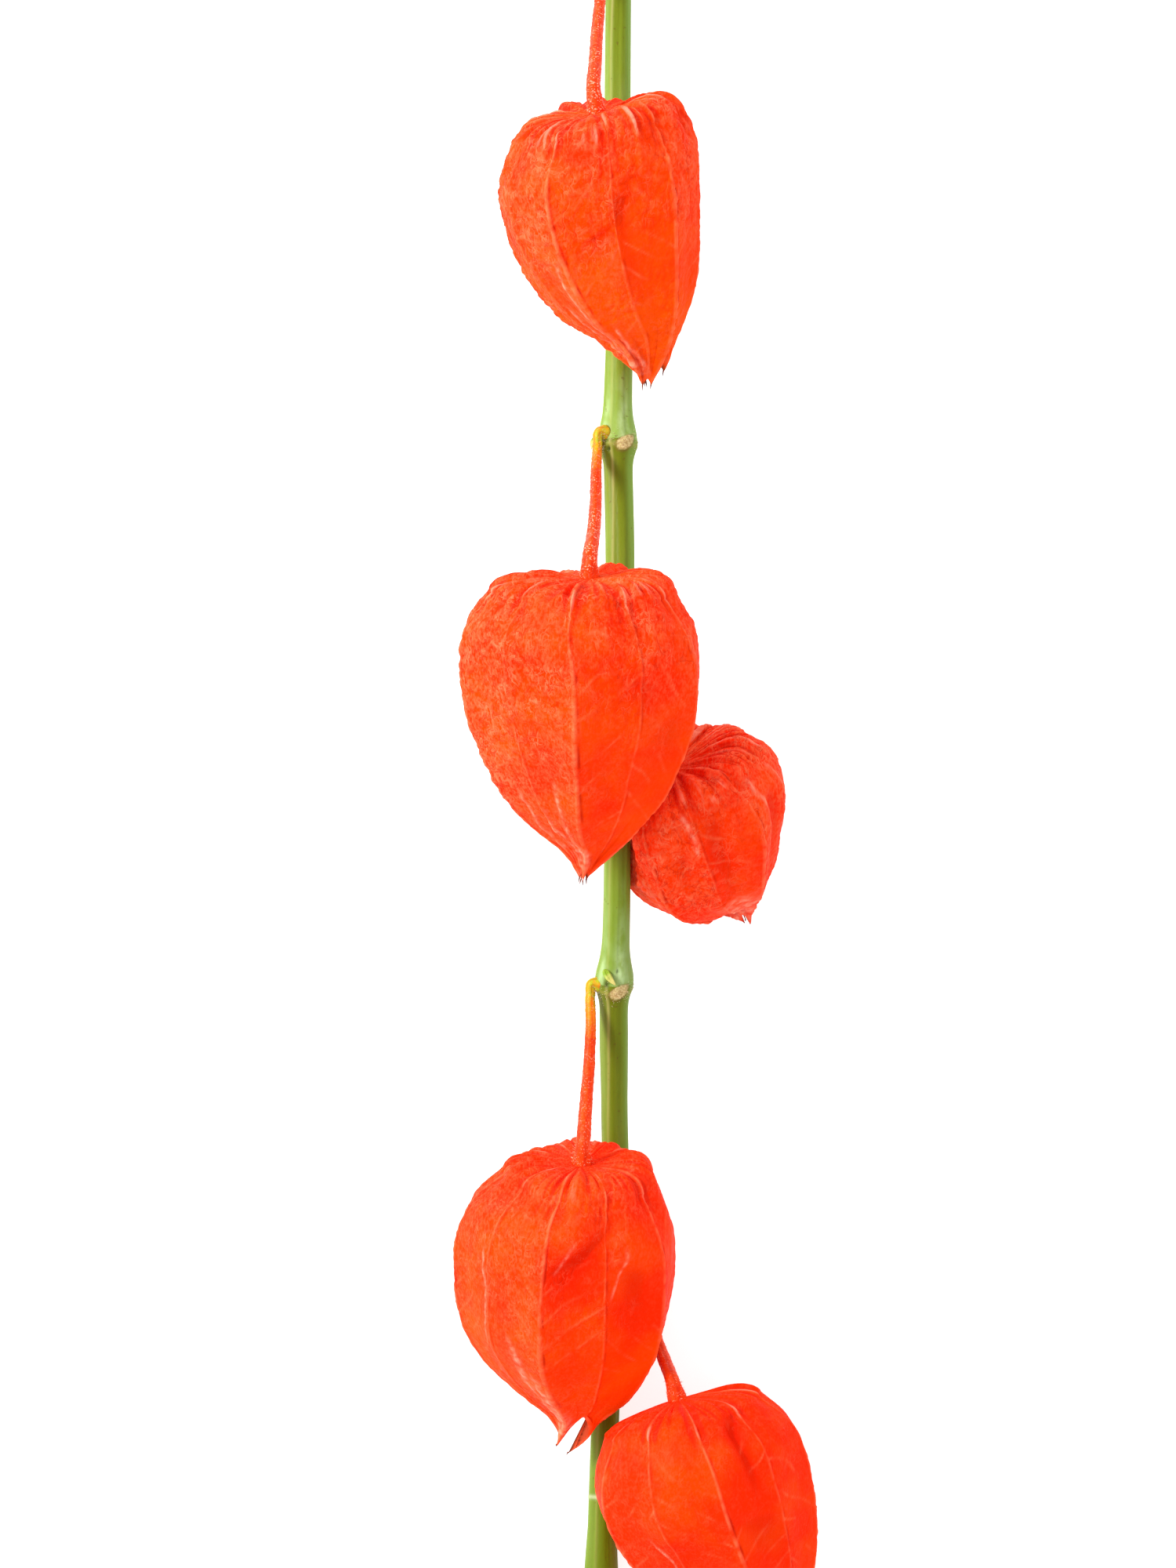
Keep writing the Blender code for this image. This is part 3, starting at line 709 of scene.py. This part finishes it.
def husk_form(husk, obstacles):
    """The husk's smooth form, and what its relief needs. Round it: ten corners on the ribs, which
    near the tip become five keels, joined by flat or puffed faces. Along it: its outline, the
    pleats' rise round the stalk, a hollow for each obstacle, and five parted points at the tip."""
    axes = along, right, over = husk_axes(husk)
    outline, in_cap, length = husk_outline(husk)
    station, left_reach, right_reach = outline.T
    share = (station / length)[:, None]
    seed, keel = husk["seed"], husk["keel"]
    half_width = (left_reach + right_reach) / 2
    half_depth = husk["half_depth"] * half_width / half_width.max()

    # rib is a spoke's place counted in ribs, from a main one at 0 round to the same one at 10,
    # and the spokes crowd toward the ribs. face goes from 0 to 1 between two ribs.
    spoke = np.arange(husk_spokes) / husk_spokes
    rib = 10 * (spoke - 0.45 * np.sin(20 * math.pi * spoke) / (20 * math.pi))[None]
    face = np.mod(rib, 1.0)
    mainness = abs(1 - np.mod(rib, 2.0))
    round_main = 0.5 + 0.5 * np.cos(math.pi * rib)
    angle = 2 * math.pi * rib / 10 + math.radians(husk["first_rib"])
    wander = cloud(place_round(angle, 1.7, 3.4 * share), seed)
    angle = angle + 0.05 * wander * (smooth_step(0, 0.2, share) * smooth_step(1.0, 0.8, share))

    # Each ring goes from full to flat faces along the husk, and its lesser corners draw in. It is
    # then stretched to reach the outline on both sides.
    tipward = smooth_step(0.80, 1.0, share)
    fullness = 0.60 - 0.45 * smooth_step(0.05, 0.75, share)
    flat = math.cos(math.pi / 10) / np.cos((face - 0.5) * math.pi / 5)
    lesser = 0.985 - keel * (0.03 + 0.10 * smooth_step(0.15, 0.85, share)) - 0.2 * tipward
    level = lesser + (1 - lesser) * (0.6 * mainness + 0.4 * round_main)
    swell = 2 * np.sin(math.pi * face) ** 2 - 1
    pleats = np.array(husk["pleats"])[np.floor(rib[0]).astype(int) % 10][None]
    fold = (0.030 + 0.012 * pleats) * bell(share, 0.16) * in_cap[:, None]
    radius = level * (fullness + (1 - fullness) * flat) + fold * swell
    x, z = ((2 * side - side.min(1, keepdims=True) - side.max(1, keepdims=True))
            / np.ptp(side, 1)[:, None] for side in (radius * np.cos(angle), radius * np.sin(angle)))
    bow = (right_reach - left_reach) / 2
    centres = np.asarray(husk["base"]) + station[:, None] * along + bow[:, None] * right
    offset = ((half_width[:, None] * x)[:, :, None] * right
              + (half_depth[:, None] * z)[:, :, None] * over)
    for line, thickness in obstacles:
        offset = press_round(offset, centres, axes, line, thickness)

    # The cap: the underside's tuck, and the pleats' rise, in small lumps with creases between.
    below = np.maximum(0.0, -z) * smooth_step(0.5, 0.05, share)
    offset = offset + (husk["tuck"] * below)[:, :, None] * along
    knots = (np.array(husk["pleats"]) + np.roll(husk["pleats"], 1)) / 2
    valley = np.interp(rib[0], np.arange(11), np.append(knots, knots[0]))[None]
    rise = 0.62 * valley + (pleats - 0.62 * valley) * np.sin(math.pi * face) ** 2
    lumps = cloud(place_round(angle, 8, 0.0), seed + 15)
    rise = rise + 1.5 * abs(lumps) - 0.5
    bump = np.sin(math.pi * np.minimum(in_cap / 1.1, 1)) ** 2 * (in_cap < 1.1)
    # The tip: rows are pulled back along the husk at each cut, and each lobe's end is shifted.
    parting = np.array(husk["parting"])[np.floor(rib[0] / 2).astype(int) % 5][None]
    lobe = np.round(rib[0] / 2).astype(int) % 5
    slender = np.array(husk["slender"])[lobe][None]
    notch = parting * (1 - mainness) ** slender * smooth_step(0.85, 1.0, share)
    shift = np.array(husk["lobe_ends"], float)[lobe] @ np.stack([right, over, along])
    grid = centres[:, None] + offset - (rise * bump[:, None])[:, :, None] * along
    row = np.interp(station[:, None] - notch, station, np.arange(len(station)))
    lower = np.minimum(row.astype(int), len(station) - 2)
    part, column = (row - lower)[:, :, None], np.arange(husk_spokes)[None]
    grid = grid[lower, column] * (1 - part) + grid[lower + 1, column] * part
    grid = grid + (mainness**0.7 * smooth_step(0.84, 1.0, share))[:, :, None] * shift
    return grid, offset, rib, share, in_cap[:, None], bell(lumps, 0.11) * bump[:, None]


def build_husk(name, husk, obstacles):
    """One husk's paper: its form, with relief along the outward normals. A raised line lies on
    each rib, and side veins slant from the lesser ribs. Broad and small soft noise, noise drawn
    out along the husk, and a net of patches give the crinkles."""
    grid, offset, rib, share, in_cap, creased = husk_form(husk, obstacles)
    along, right = husk_axes(husk)[:2]
    seed, crinkled, pale_right = husk["seed"], husk["crinkled"], husk["pale_right"]
    length = np.linalg.norm(np.subtract(husk["tip"], husk["base"]))
    station, face = share * length, np.mod(rib, 1.0)
    first_angle, way_round = math.radians(husk["first_rib"]), rib * math.pi / 5
    normal, from_axis = grid_normals(grid), np.linalg.norm(offset, axis=2)
    arc = from_axis * (math.pi / 5)
    from_rib = np.minimum(face, 1 - face) * arc
    is_main = np.mod(np.round(rib), 2) < 0.5
    shown = smooth_step(0.0, 0.5, in_cap)
    surface = grid + noise_home
    broken = np.clip(0.7 + 0.8 * cloud(surface / 1.1, seed + 9), 0, 1.2)

    # Ribs: a raised line on each, the paper rising to it like a tent, furrows beside it round the
    # stalk, and a narrow valley, the seam, along its right side, which the material darkens as
    # painted shade.
    rib_width = np.where(is_main, main_rib_width, lesser_rib_width)
    rib_line = bell(from_rib, rib_width) * broken * shown
    rib_height = rib_line * np.where(is_main, 0.19, 0.14) * smooth_step(1.0, 0.9, share)
    tent = np.maximum(0, 1 - from_rib / 4.5) * np.where(is_main, 0.75, 0.30)
    tent = tent * smooth_step(0.04, 0.3, share) * smooth_step(1.0, 0.85, share)
    shoulder = smooth_step(0.15, 0.03, share) * shown
    furrow = bell(from_rib, 0.42) - bell(from_rib - 1.2, 0.5)
    furrow = furrow * np.clip(0.5 + 1.2 * cloud(surface / 4.0, seed + 16), 0, 1)
    rib_height = rib_height + tent + 0.24 * furrow * shoulder
    to_right = np.where(face < 0.5, -face, 1 - face) * arc
    seam = bell(to_right - 0.45, 0.26) * shown
    seam = seam * np.clip(0.4 + 1.3 * cloud(surface / 2.4, seed + 13), 0, 1)
    seam = seam * np.where(is_main, 1.0, 0.55)
    rib_height = rib_height - 0.10 * seam

    # Side veins: lines that slant away from the lesser ribs, evenly spaced but swayed by noise.
    from_lesser = np.where(np.mod(np.floor(rib), 2) < 0.5, 1 - face, face) * arc
    sway = cloud(surface / 8.0, seed + 2)
    phase = (station - 0.85 * from_lesser) / vein_spacing + 0.45 * sway + 0.37 * np.floor(rib)
    vein_off = abs(phase - np.round(phase)) * vein_spacing * 0.76
    vein = bell(vein_off, 0.24) * smooth_step(-0.1, 0.5, cloud(surface / 5, seed + 3))
    vein = vein * smooth_step(0.06, 0.16, share) * smooth_step(0.98, 0.85, share) * broken

    # Crinkles: broad swells, folds drawn out along the husk, and a net of patches in two sizes.
    # They are strongest where rough is 1, mostly on the left and toward the stalk.
    bent = surface + 0.8 * np.stack([cloud(surface / 2.5, seed + 20 + k) for k in range(3)], axis=2)
    patches, small = (np.minimum(cell_edges(bent / size, seed + k), 0.45) / 0.45
                      for size, k in ((2.6, 4), (1.4, 5)))
    broad, crinkle = cloud(surface / 12.0, seed + 6), cloud(bent / 3.0, seed + 7)
    fine = cloud(bent / 1.5, seed + 8)
    drawn_out = place_round(way_round, 17, station / 7) + 50.0
    drawn = 0.8 * cloud(drawn_out, seed + 10) + 0.7 * cloud(2.4 * drawn_out, seed + 14)
    toward_left = -offset @ right / 25.0
    rough = smooth_step(-0.5, 0.5, cloud(surface / 9.0, seed + 12) + 0.45 * toward_left
                        - 1.2 * (share - 0.50))
    rough = np.clip(rough * crinkled, 0, 1)
    calm = (0.35 + 0.65 * in_cap) * (1 - 0.5 * smooth_step(0.85, 1.0, share))
    left = smooth_step(0.3, -0.5, np.cos(first_angle + way_round))
    drawn_in = shoulder + 0.7 * left * smooth_step(0.68, 0.92, share)
    uneven = np.clip(0.65 + 1.1 * cloud(surface / 5.5, seed + 17), 0.1, 1.4) * crinkled
    folds = 0.18 * drawn * (0.35 + 0.65 * smooth_step(0.5, 0.1, share) + 1.1 * drawn_in) * uneven
    wrinkles = (0.26 * (0.5 - abs(crinkle)) + 0.24 * (patches - 0.6) + 0.11 * fine) * crinkled
    relief = 0.45 * broad + folds + (0.25 + 0.75 * rough) * (wrinkles + 0.10 * (small - 0.6))
    height = relief * calm + rib_height + 0.17 * vein

    def aside_from(degrees):
        """How far round the husk each point lies from a line at the given degrees."""
        turned = nearest_turn(first_angle + way_round - np.radians(degrees))
        return turned * arc * 5 / math.pi

    # Raised folds, pale partly as painted highlight, and dents, which the material darkens as
    # painted shade. A dent is steep toward the stalk and fades toward the tip.
    streak, deep = np.zeros((2, *arc.shape))
    for degrees, last_degrees, start, stop, width in husk["streaks"]:
        line = np.interp(share, (start, stop), (degrees, last_degrees))
        aside = aside_from(line) + 1.3 * sway + 0.5 * crinkle
        held = smooth_step(start, start + 0.06, share)
        held = held * smooth_step(stop + 0.02, stop - 0.06, share)
        streak = np.maximum(streak, bell(aside, width) * held * broken)
    height = height + 0.22 * streak
    for degrees, place, across, reach, depth, slant in husk["dents"]:
        aside = aside_from(degrees) + 0.8 * sway
        after = (share - place) * length + slant * aside + 1.2 * broad
        steep = np.where(after < 0, 0.22 * reach, reach)
        dent = np.exp(-((aside / across) ** 2) - (after / steep) ** 2) * shown
        height = height - depth * dent
        deep = np.maximum(deep, depth * dent)
    grid = grid + normal * height[:, :, None]
    grid[:, :, 2] = np.maximum(grid[:, :, 2], table_top)
    inner = grid[-1].mean(axis=0) - (1.0 + max(husk["parting"])) * along
    inner = inner + husk["drawn_right"] * right

    # Masks: crests and raised bands are paler than the hollows between them, as painted highlight
    # and painted shade, the crests partly also a waxy whitening, and the left side, the cap and the
    # upper right, which face the light, are painted lit.
    crest = 0.45 + 1.2 * (folds + (0.3 + 0.7 * rough) * wrinkles) + 0.10 * broad
    banded = (0.36 + 0.55 * furrow + 1.9 * folds - 0.5 * creased) * drawn_in
    at_stalk, at_tip = husk["orange"]
    to_the_right = np.cos(first_angle + (np.floor(rib) + 0.5) * math.pi / 5)
    # The next lines mark where the paper is painted lit: faces that turn left toward the light, the
    # upper right and the cap.
    upper = smooth_step(0.75 * pale_right, 0.30 * pale_right, share)
    painted_lit_side = smooth_step(0.55, -0.95, to_the_right)
    painted_lit_side = painted_lit_side + pale_right * smooth_step(0.45, 0.9, to_the_right) * upper
    painted_lit_side = np.maximum(painted_lit_side, 0.5 * smooth_step(0.42, 0.08, share))
    painted_lit_side = np.maximum(painted_lit_side, 0.8 * smooth_step(0.14, 0.0, share))
    ends = grid[-1, np.argmin(abs(rib - np.arange(0, 10, 2)[:, None]), axis=1)]
    from_end = np.min([np.linalg.norm(grid - end, axis=2) for end in ends], axis=0)
    masks = {"rib": rib_line * np.where(is_main, 1.0, 0.6), "vein": vein, "rough": rough,
             "crest": np.clip(crest, 0, 1), "painted_lit_side": np.clip(husk["bloom_and_sheen"] * painted_lit_side, 0, 1),
             "banded": np.clip(banded, 0, 1), "drawn_in": np.clip(drawn_in, 0, 1),
             "streak": np.clip(streak, 0, 1), "seam": seam, "deep": np.clip(deep / 1.5, 0, 1),
             "orange": at_stalk + (at_tip - at_stalk) * smooth_step(0.3, 0.95, share),
             "dry": smooth_step(husk["thread"], 0.2, from_end)}
    return grid_object(name, grid, (np.asarray(husk["base"]), inner), masks), ends


def crepe_group():
    """A crinkled net, as a shader node group. Its coordinates are bent by noise. Where a soft
    noise crosses its middle, a short crinkle runs: a pale painted highlight on one side of the
    crossing and a dark painted shade on the other, as on a lit crest and a shaded valley. Fine
    noise gives the paper's tooth."""
    group = bpy.data.node_groups.new("crepe_paper", "ShaderNodeTree")
    sockets = (("Roughened", "INPUT"), ("Valley", "OUTPUT"), ("Crest", "OUTPUT"),
               ("Height", "OUTPUT"))
    for name, direction in sockets:
        group.interface.new_socket(name, in_out=direction, socket_type="NodeSocketFloat")
    inlet, outlet = group.nodes.new("NodeGroupInput"), group.nodes.new("NodeGroupOutput")
    roughened = inlet.outputs["Roughened"]
    crests, valleys, grooves = [], [], []
    for scale, width, turn in ((360, 0.042, 0.6), (760, 0.050, -0.5)):
        level = noise_of(group, scale, 2, (1.0, 0.55, 1.0), turn, 0.6)
        below = range_of(group, level, 0.5 - 1.5 * width, 0.5 - 0.2 * width, 0.0, 1.0)
        above = range_of(group, level, 0.5 + 0.2 * width, 0.5 + 1.5 * width, 1.0, 0.0)
        past = range_of(group, level, 0.5 - 0.2 * width, 0.5 + 0.2 * width, 0.0, 1.0)
        crests.append(math_of(group, "MULTIPLY", above, past))
        valleys.append(math_of(group, "SUBTRACT", below, past))
        away = math_of(group, "ABSOLUTE", math_of(group, "SUBTRACT", level, 0.5), 0.0)
        grooves.append(range_of(group, away, 0.0, 0.07, 0.0, 160 / scale))
    for outcome, marks, scale in (("Valley", valleys, 330), ("Crest", crests, 290)):
        here = range_of(group, noise_of(group, scale, 2), 0.44, 0.60, 0.0, 1.0)
        mark = math_of(group, "MULTIPLY", here, roughened, math_of(group, "MAXIMUM", *marks))
        group.links.new(mark, outlet.inputs[outcome])
    puffed = math_of(group, "MULTIPLY", math_of(group, "ADD", *grooves),
                     range_of(group, roughened, 0.0, 0.8, 0.12, 1.0))
    tooth = noise_of(group, 1100, 4)
    group.links.new(math_of(group, "ADD", tooth, puffed), outlet.inputs["Height"])
    return group


def paper_material():
    """Thin orange-red paper: deep red by the stalk, orange at the tip, with pale ribs and veins,
    and dry dark points. It is paler on crests, raised folds, streaks and the side and top that
    face the light, as painted highlight, partly also a waxy whitening on the crests, and darker
    in dents, between folds, beside the ribs and in crinkle valleys, as painted shade."""
    material, tree, shader = material_named("orange_husk_paper")
    mottle = range_of(tree, noise_of(tree, 85, 3), 0.35, 0.65, -0.2, 0.35)
    body = blend_of(tree, math_of(tree, "ADD", "orange", mottle),
                    (0.88, 0.020, 0.0004), (0.88, 0.070, 0.0005))
    # Paleness on crests with flecks, scaled by the lit side: partly a waxy whitening, mostly
    # painted sheen where the paper faces the light.
    bloom_and_sheen = range_of(tree, "crest", 0.30, 0.80, -0.14, 0.30)
    fleck = range_of(tree, noise_of(tree, 2100, 3, (1, 0.6, 1)), 0.38, 0.64, -0.22, 0.34)
    cloudy = range_of(tree, noise_of(tree, 800, 3), 0.38, 0.64, -0.16, 0.20)
    bloom_and_sheen = math_of(tree, "MULTIPLY", math_of(tree, "ADD", bloom_and_sheen, fleck, cloudy),
                    range_of(tree, "painted_lit_side", 0, 1, 0.12, 0.9))
    bloom_and_sheen = math_of(tree, "ADD", bloom_and_sheen, range_of(tree, "painted_lit_side", 0, 1, 0.0, 0.20))
    # Round the cap, hollows between folds are darkened as painted shade and fold tops paled as
    # painted highlight.
    sunken = range_of(tree, "banded", 0.0, 0.30, 0.65, 0.0)
    raised = range_of(tree, "banded", 0.55, 1.0, 0.0, 0.55)
    # How pale the streaks are: raised folds, pale partly as painted highlight.
    streak_strength = range_of(tree, noise_of(tree, 700, 3), 0.36, 0.60, 0.15, 0.62)
    lit = range_of(tree, "painted_lit_side", 0.0, 0.7, 0.12, 0.42)
    dark = range_of(tree, "painted_lit_side", 0.0, 0.7, 0.24, 0.62)
    crepe = tree.nodes.new("ShaderNodeGroup")
    crepe.node_tree = crepe_group()
    set_or_link(tree, crepe.inputs["Roughened"], range_of(tree, "rough", 0.0, 1.0, 0.12, 1.0))
    body = tinted(tree, body, (bloom_and_sheen, 1.0, (0.88, 0.130, 0.050)),
                  # The dents are darkened to a deeper red as painted shade.
                  ("deep", 0.75, (0.68, 0.010, 0.0004)), ("drawn_in", sunken, (0.62, 0.010, 0.004)),
                  # The seam beside each rib is darkened as painted shade.
                  (raised, 1.0, (0.92, 0.34, 0.24)), ("seam", 0.80, (0.48, 0.008, 0.0005)),
                  # The crinkle crests and valleys: painted highlight and painted shade, stronger on
                  # the lit side.
                  (crepe.outputs["Crest"], lit, (0.90, 0.23, 0.11)),
                  (crepe.outputs["Valley"], dark, (0.52, 0.008, 0.0005)),
                  ("vein", 0.32, (0.88, 0.18, 0.07)), ("rib", 0.32, (0.90, 0.24, 0.11)),
                  ("streak", streak_strength, (0.92, 0.33, 0.22)), ("dry", 0.85, (0.20, 0.045, 0.012)))
    dull = range_of(tree, noise_of(tree, 450, 3), 0.3, 0.7, 0.42, 0.62)
    set_shader(tree, shader, body, dull, 0.015, crepe.outputs["Height"], 0.85, 0.00018)
    return material


husk_paper = paper_material()
round_stem = (stem_axis, stem_radius(stem_axis[:, 1]))
crossing = stalk_line("stalk_5")
round_stalk = (crossing, np.linspace(stalk_slender, stalk_stout, len(crossing)))
for name, (base, tip) in husk_places.items():
    husks[name] = husk = {**usual_husk, **husks[name], "base": base, "tip": tip}
    obstacles = [round_stem] if name == "lantern_5" else [round_stem, round_stalk]
    paper, husk["ends"] = build_husk(name.replace("lantern", "husk_paper"), husk, obstacles)
    paper.data.materials.append(husk_paper)
    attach(paper, "root")
    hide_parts(name)


# ---- Dry threads and down --------------------------------------------------------------------
# The husks' five points end in short dry threads, dark brown and curled. Fine pale down grows
# on the stem's joints, on the stalks and round the husks' drawn-in tops.

thread_thickness, thread_sides, thread_rings = 0.17, 6, 9
down_length, down_thickness, down_sides, down_rings = 0.7, 0.035, 3, 3
down_at_root, down_at_husk, down_at_joint = 110, 60, 240


def build_fibres(name, roots, ways, bends, lengths, thickness, sides, rings):
    """Many tapered fibres in one mesh, each with the given sides and rings. A fibre starts at its
    root and runs its length along its way while it bends aside by the square of the distance, and
    thins to a point."""
    count = len(roots)
    way = ways / np.linalg.norm(ways, axis=1)[:, None]
    helper = np.where(abs(way[:, 2:]) > 0.8, (1.0, 0.0, 0.0), (0.0, 0.0, 1.0))
    side = np.cross(way, helper)
    side /= np.linalg.norm(side, axis=1)[:, None]
    lift = np.cross(way, side)
    share = np.linspace(0, 1, rings + 1)[None, :, None]
    run = lengths[:, None, None]
    middle = roots[:, None] + run * (share * way[:, None] + share**2 * bends[:, None])
    turn = turns(sides)[:, None, :, None]
    ring = (np.cos(turn) * side[:, None, None] + np.sin(turn) * lift[:, None, None])
    body = middle[:, :-1, None] + thickness * (1 - share[:, :-1, None]) ** 0.6 * ring
    points = np.concatenate([body.reshape(count, -1, 3), middle[:, -1:], roots[:, None]], axis=1)
    index = np.arange(rings * sides).reshape(rings, sides)
    after = np.roll(index, -1, axis=1)
    quads = np.stack([index[:-1], index[1:], after[1:], after[:-1]], axis=-1).reshape(-1, 4)
    tip = np.column_stack([index[-1], np.full(sides, rings * sides), after[-1]])
    foot = np.column_stack([after[0], np.full(sides, rings * sides + 1), index[0]])
    offset = (np.arange(count) * (rings * sides + 2))[:, None, None]
    faces = [*(quads[None] + offset).reshape(-1, 4).tolist(),
             *(np.vstack([tip, foot])[None] + offset).reshape(-1, 3).tolist()]
    mesh = bpy.data.meshes.new(name)
    mesh.from_pydata((points.reshape(-1, 3) * MM).tolist(), [], faces)
    mesh.shade_smooth()
    share_along = np.concatenate([np.repeat(share[0, :-1, 0], sides), [1.0, 0.0]])
    write_mask(mesh, "tipward", np.tile(share_along, count))
    return add_object(name, mesh)


def fibre_material(name, root_colour, tip_colour):
    """Two colours along each fibre, broken by fine noise, and a dull shine."""
    material, tree, shader = material_named(name)
    along = math_of(tree, "ADD", "tipward",
                    range_of(tree, noise_of(tree, 3000, 2), 0.3, 0.7, -0.25, 0.25))
    tree.links.new(blend_of(tree, along, root_colour, tip_colour), shader.inputs["Base Color"])
    shader.inputs["Roughness"].default_value = 0.6
    shader.inputs["Specular IOR Level"].default_value = 0.2
    return material


dry_brown = fibre_material("dry_brown_thread", (0.22, 0.04, 0.015), (0.03, 0.015, 0.008))
pale_down = fibre_material("pale_down", (0.70, 0.45, 0.22), (0.86, 0.78, 0.58))
for name, husk in husks.items():
    loose = np.random.default_rng(husk["seed"])
    along, right, over = husk_axes(husk)
    points = husk["ends"] - 0.35 * along
    ways = along + 0.55 * loose.uniform(-1, 1, (5, 1)) * right + 0.15 * over
    bends = 0.5 * loose.uniform(-1, 1, (5, 1)) * right + 0.35 * loose.uniform(-1, 1, (5, 3))
    lengths = husk["thread"] * loose.uniform(0.7, 1.25, 5)
    points[:, 2] = np.maximum(points[:, 2], 0.35)
    ways[:, 2] = np.maximum(ways[:, 2], -0.1)
    threads = build_fibres(name.replace("lantern", "dry_threads"), points, ways, 0.5 * bends,
                           lengths, thread_thickness, thread_sides, thread_rings)
    threads.data.materials.append(dry_brown)
    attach(threads, "root")


def add_down(name, roots, outward, seed):
    """A piece of fine pale down: one short fibre from each root, leaning at random from the
    outward way."""
    loose = np.random.default_rng(seed)
    ways = outward + 0.45 * loose.uniform(-1, 1, roots.shape)
    clear = roots[:, 2] > 1.2
    roots, ways = (roots - 0.06 * outward)[clear], ways[clear]
    lengths = down_length * loose.uniform(0.4, 1.2, len(roots))
    bends = 0.3 * loose.uniform(-1, 1, roots.shape)
    down = build_fibres(name, roots, ways, bends, lengths, down_thickness, down_sides, down_rings)
    down.data.materials.append(pale_down)
    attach(down, "root")


for name in stalks:
    loose = np.random.default_rng(90 + int(name[-1]))
    line = stalk_line(name)
    right, over = line_frame(line)[1:]
    row = np.concatenate([loose.integers(6, 34, down_at_root),
                          loose.integers(148, 165, down_at_husk)])
    turn = loose.uniform(0, 2 * math.pi, (len(row), 1))
    outward = np.cos(turn) * right[row] + np.sin(turn) * over[row]
    thickness = np.interp(row, (0, 34, 148, 169), (1.2, 0.95, 1.5, 2.0))[:, None]
    add_down(name.replace("stalk", "stalk_down"), line[row] + outward * thickness, outward,
             95 + int(name[-1]))
for joint in joints:
    loose = np.random.default_rng(int(300 + joint))
    row = np.argmin(abs(stem_axis[:, 1] - joint))
    right, over = (way[row] for way in line_frame(stem_axis)[1:])
    turn = loose.uniform(0, 2 * math.pi, (down_at_joint, 1))
    outward = np.cos(turn) * right + np.sin(turn) * over
    rise = loose.normal(-0.6, 1.3, (down_at_joint, 1))
    middle = stem_axis[row] + rise * (0.0, 1.0, 0.0)
    roots = middle + outward * stem_radius(middle[:, 1:2])
    add_down(f"joint_down_{joints.index(joint) + 1}", roots, outward, 400 + row)


# ---- Floor, light and camera -----------------------------------------------------------------
# The stem lies on a plain pale table under soft studio light, seen from straight above. The
# table glows a little, as a lit white ground does, so that shadows on it stay faint.

floor_reach, floor_level = 3, -0.0002
floor_mesh = bpy.data.meshes.new("floor")
corners = [(x * floor_reach, y * floor_reach, floor_level)
           for x, y in ((-1, -1), (1, -1), (1, 1), (-1, 1))]
floor_mesh.from_pydata(corners, [], [(0, 1, 2, 3)])
floor = add_object("floor", floor_mesh)
floor_material, _, floor_shader = material_named("pale_floor")
floor_shader.inputs["Base Color"].default_value = (0.46, 0.46, 0.46, 1.0)
floor_shader.inputs["Emission Color"].default_value = (1.0, 1.0, 1.0, 1.0)
floor_shader.inputs["Emission Strength"].default_value = 0.76
floor_shader.inputs["Roughness"].default_value = 0.9
floor.data.materials.append(floor_material)

world = bpy.data.worlds.new("white_studio")
world.use_nodes = True
background = world.node_tree.nodes["Background"]
background.inputs["Color"].default_value = (1.0, 1.0, 1.0, 1.0)
background.inputs["Strength"].default_value = 1.15
bpy.context.scene.world = world
bpy.context.scene.view_settings.view_transform = "Standard"


def area_light(name, position, size, power):
    """A square soft light that faces the middle of the object."""
    lamp = bpy.data.lights.new(name, "AREA")
    lamp.size, lamp.energy = size, power
    obj = add_object(name, lamp)
    obj.location = position
    toward = -np.asarray(position, float)
    pitch = math.atan2(math.hypot(toward[0], toward[1]), -toward[2])
    obj.rotation_euler = (pitch, 0.0, math.atan2(toward[1], toward[0]) - math.pi / 2)


area_light("key_light", (-0.95, 0.45, 0.72), 0.36, 21.0)

sensor, view_distance, view_height = 36.0, 1150, 320  # at that distance, that height is seen
camera_data = bpy.data.cameras.new("camera")
camera_data.lens = sensor * view_distance / view_height
camera_data.clip_start, camera_data.clip_end = 0.01, 20.0
camera = add_object("camera", camera_data)
camera.location = (-0.0099, 0.0072, 1.175)
bpy.context.scene.camera = camera
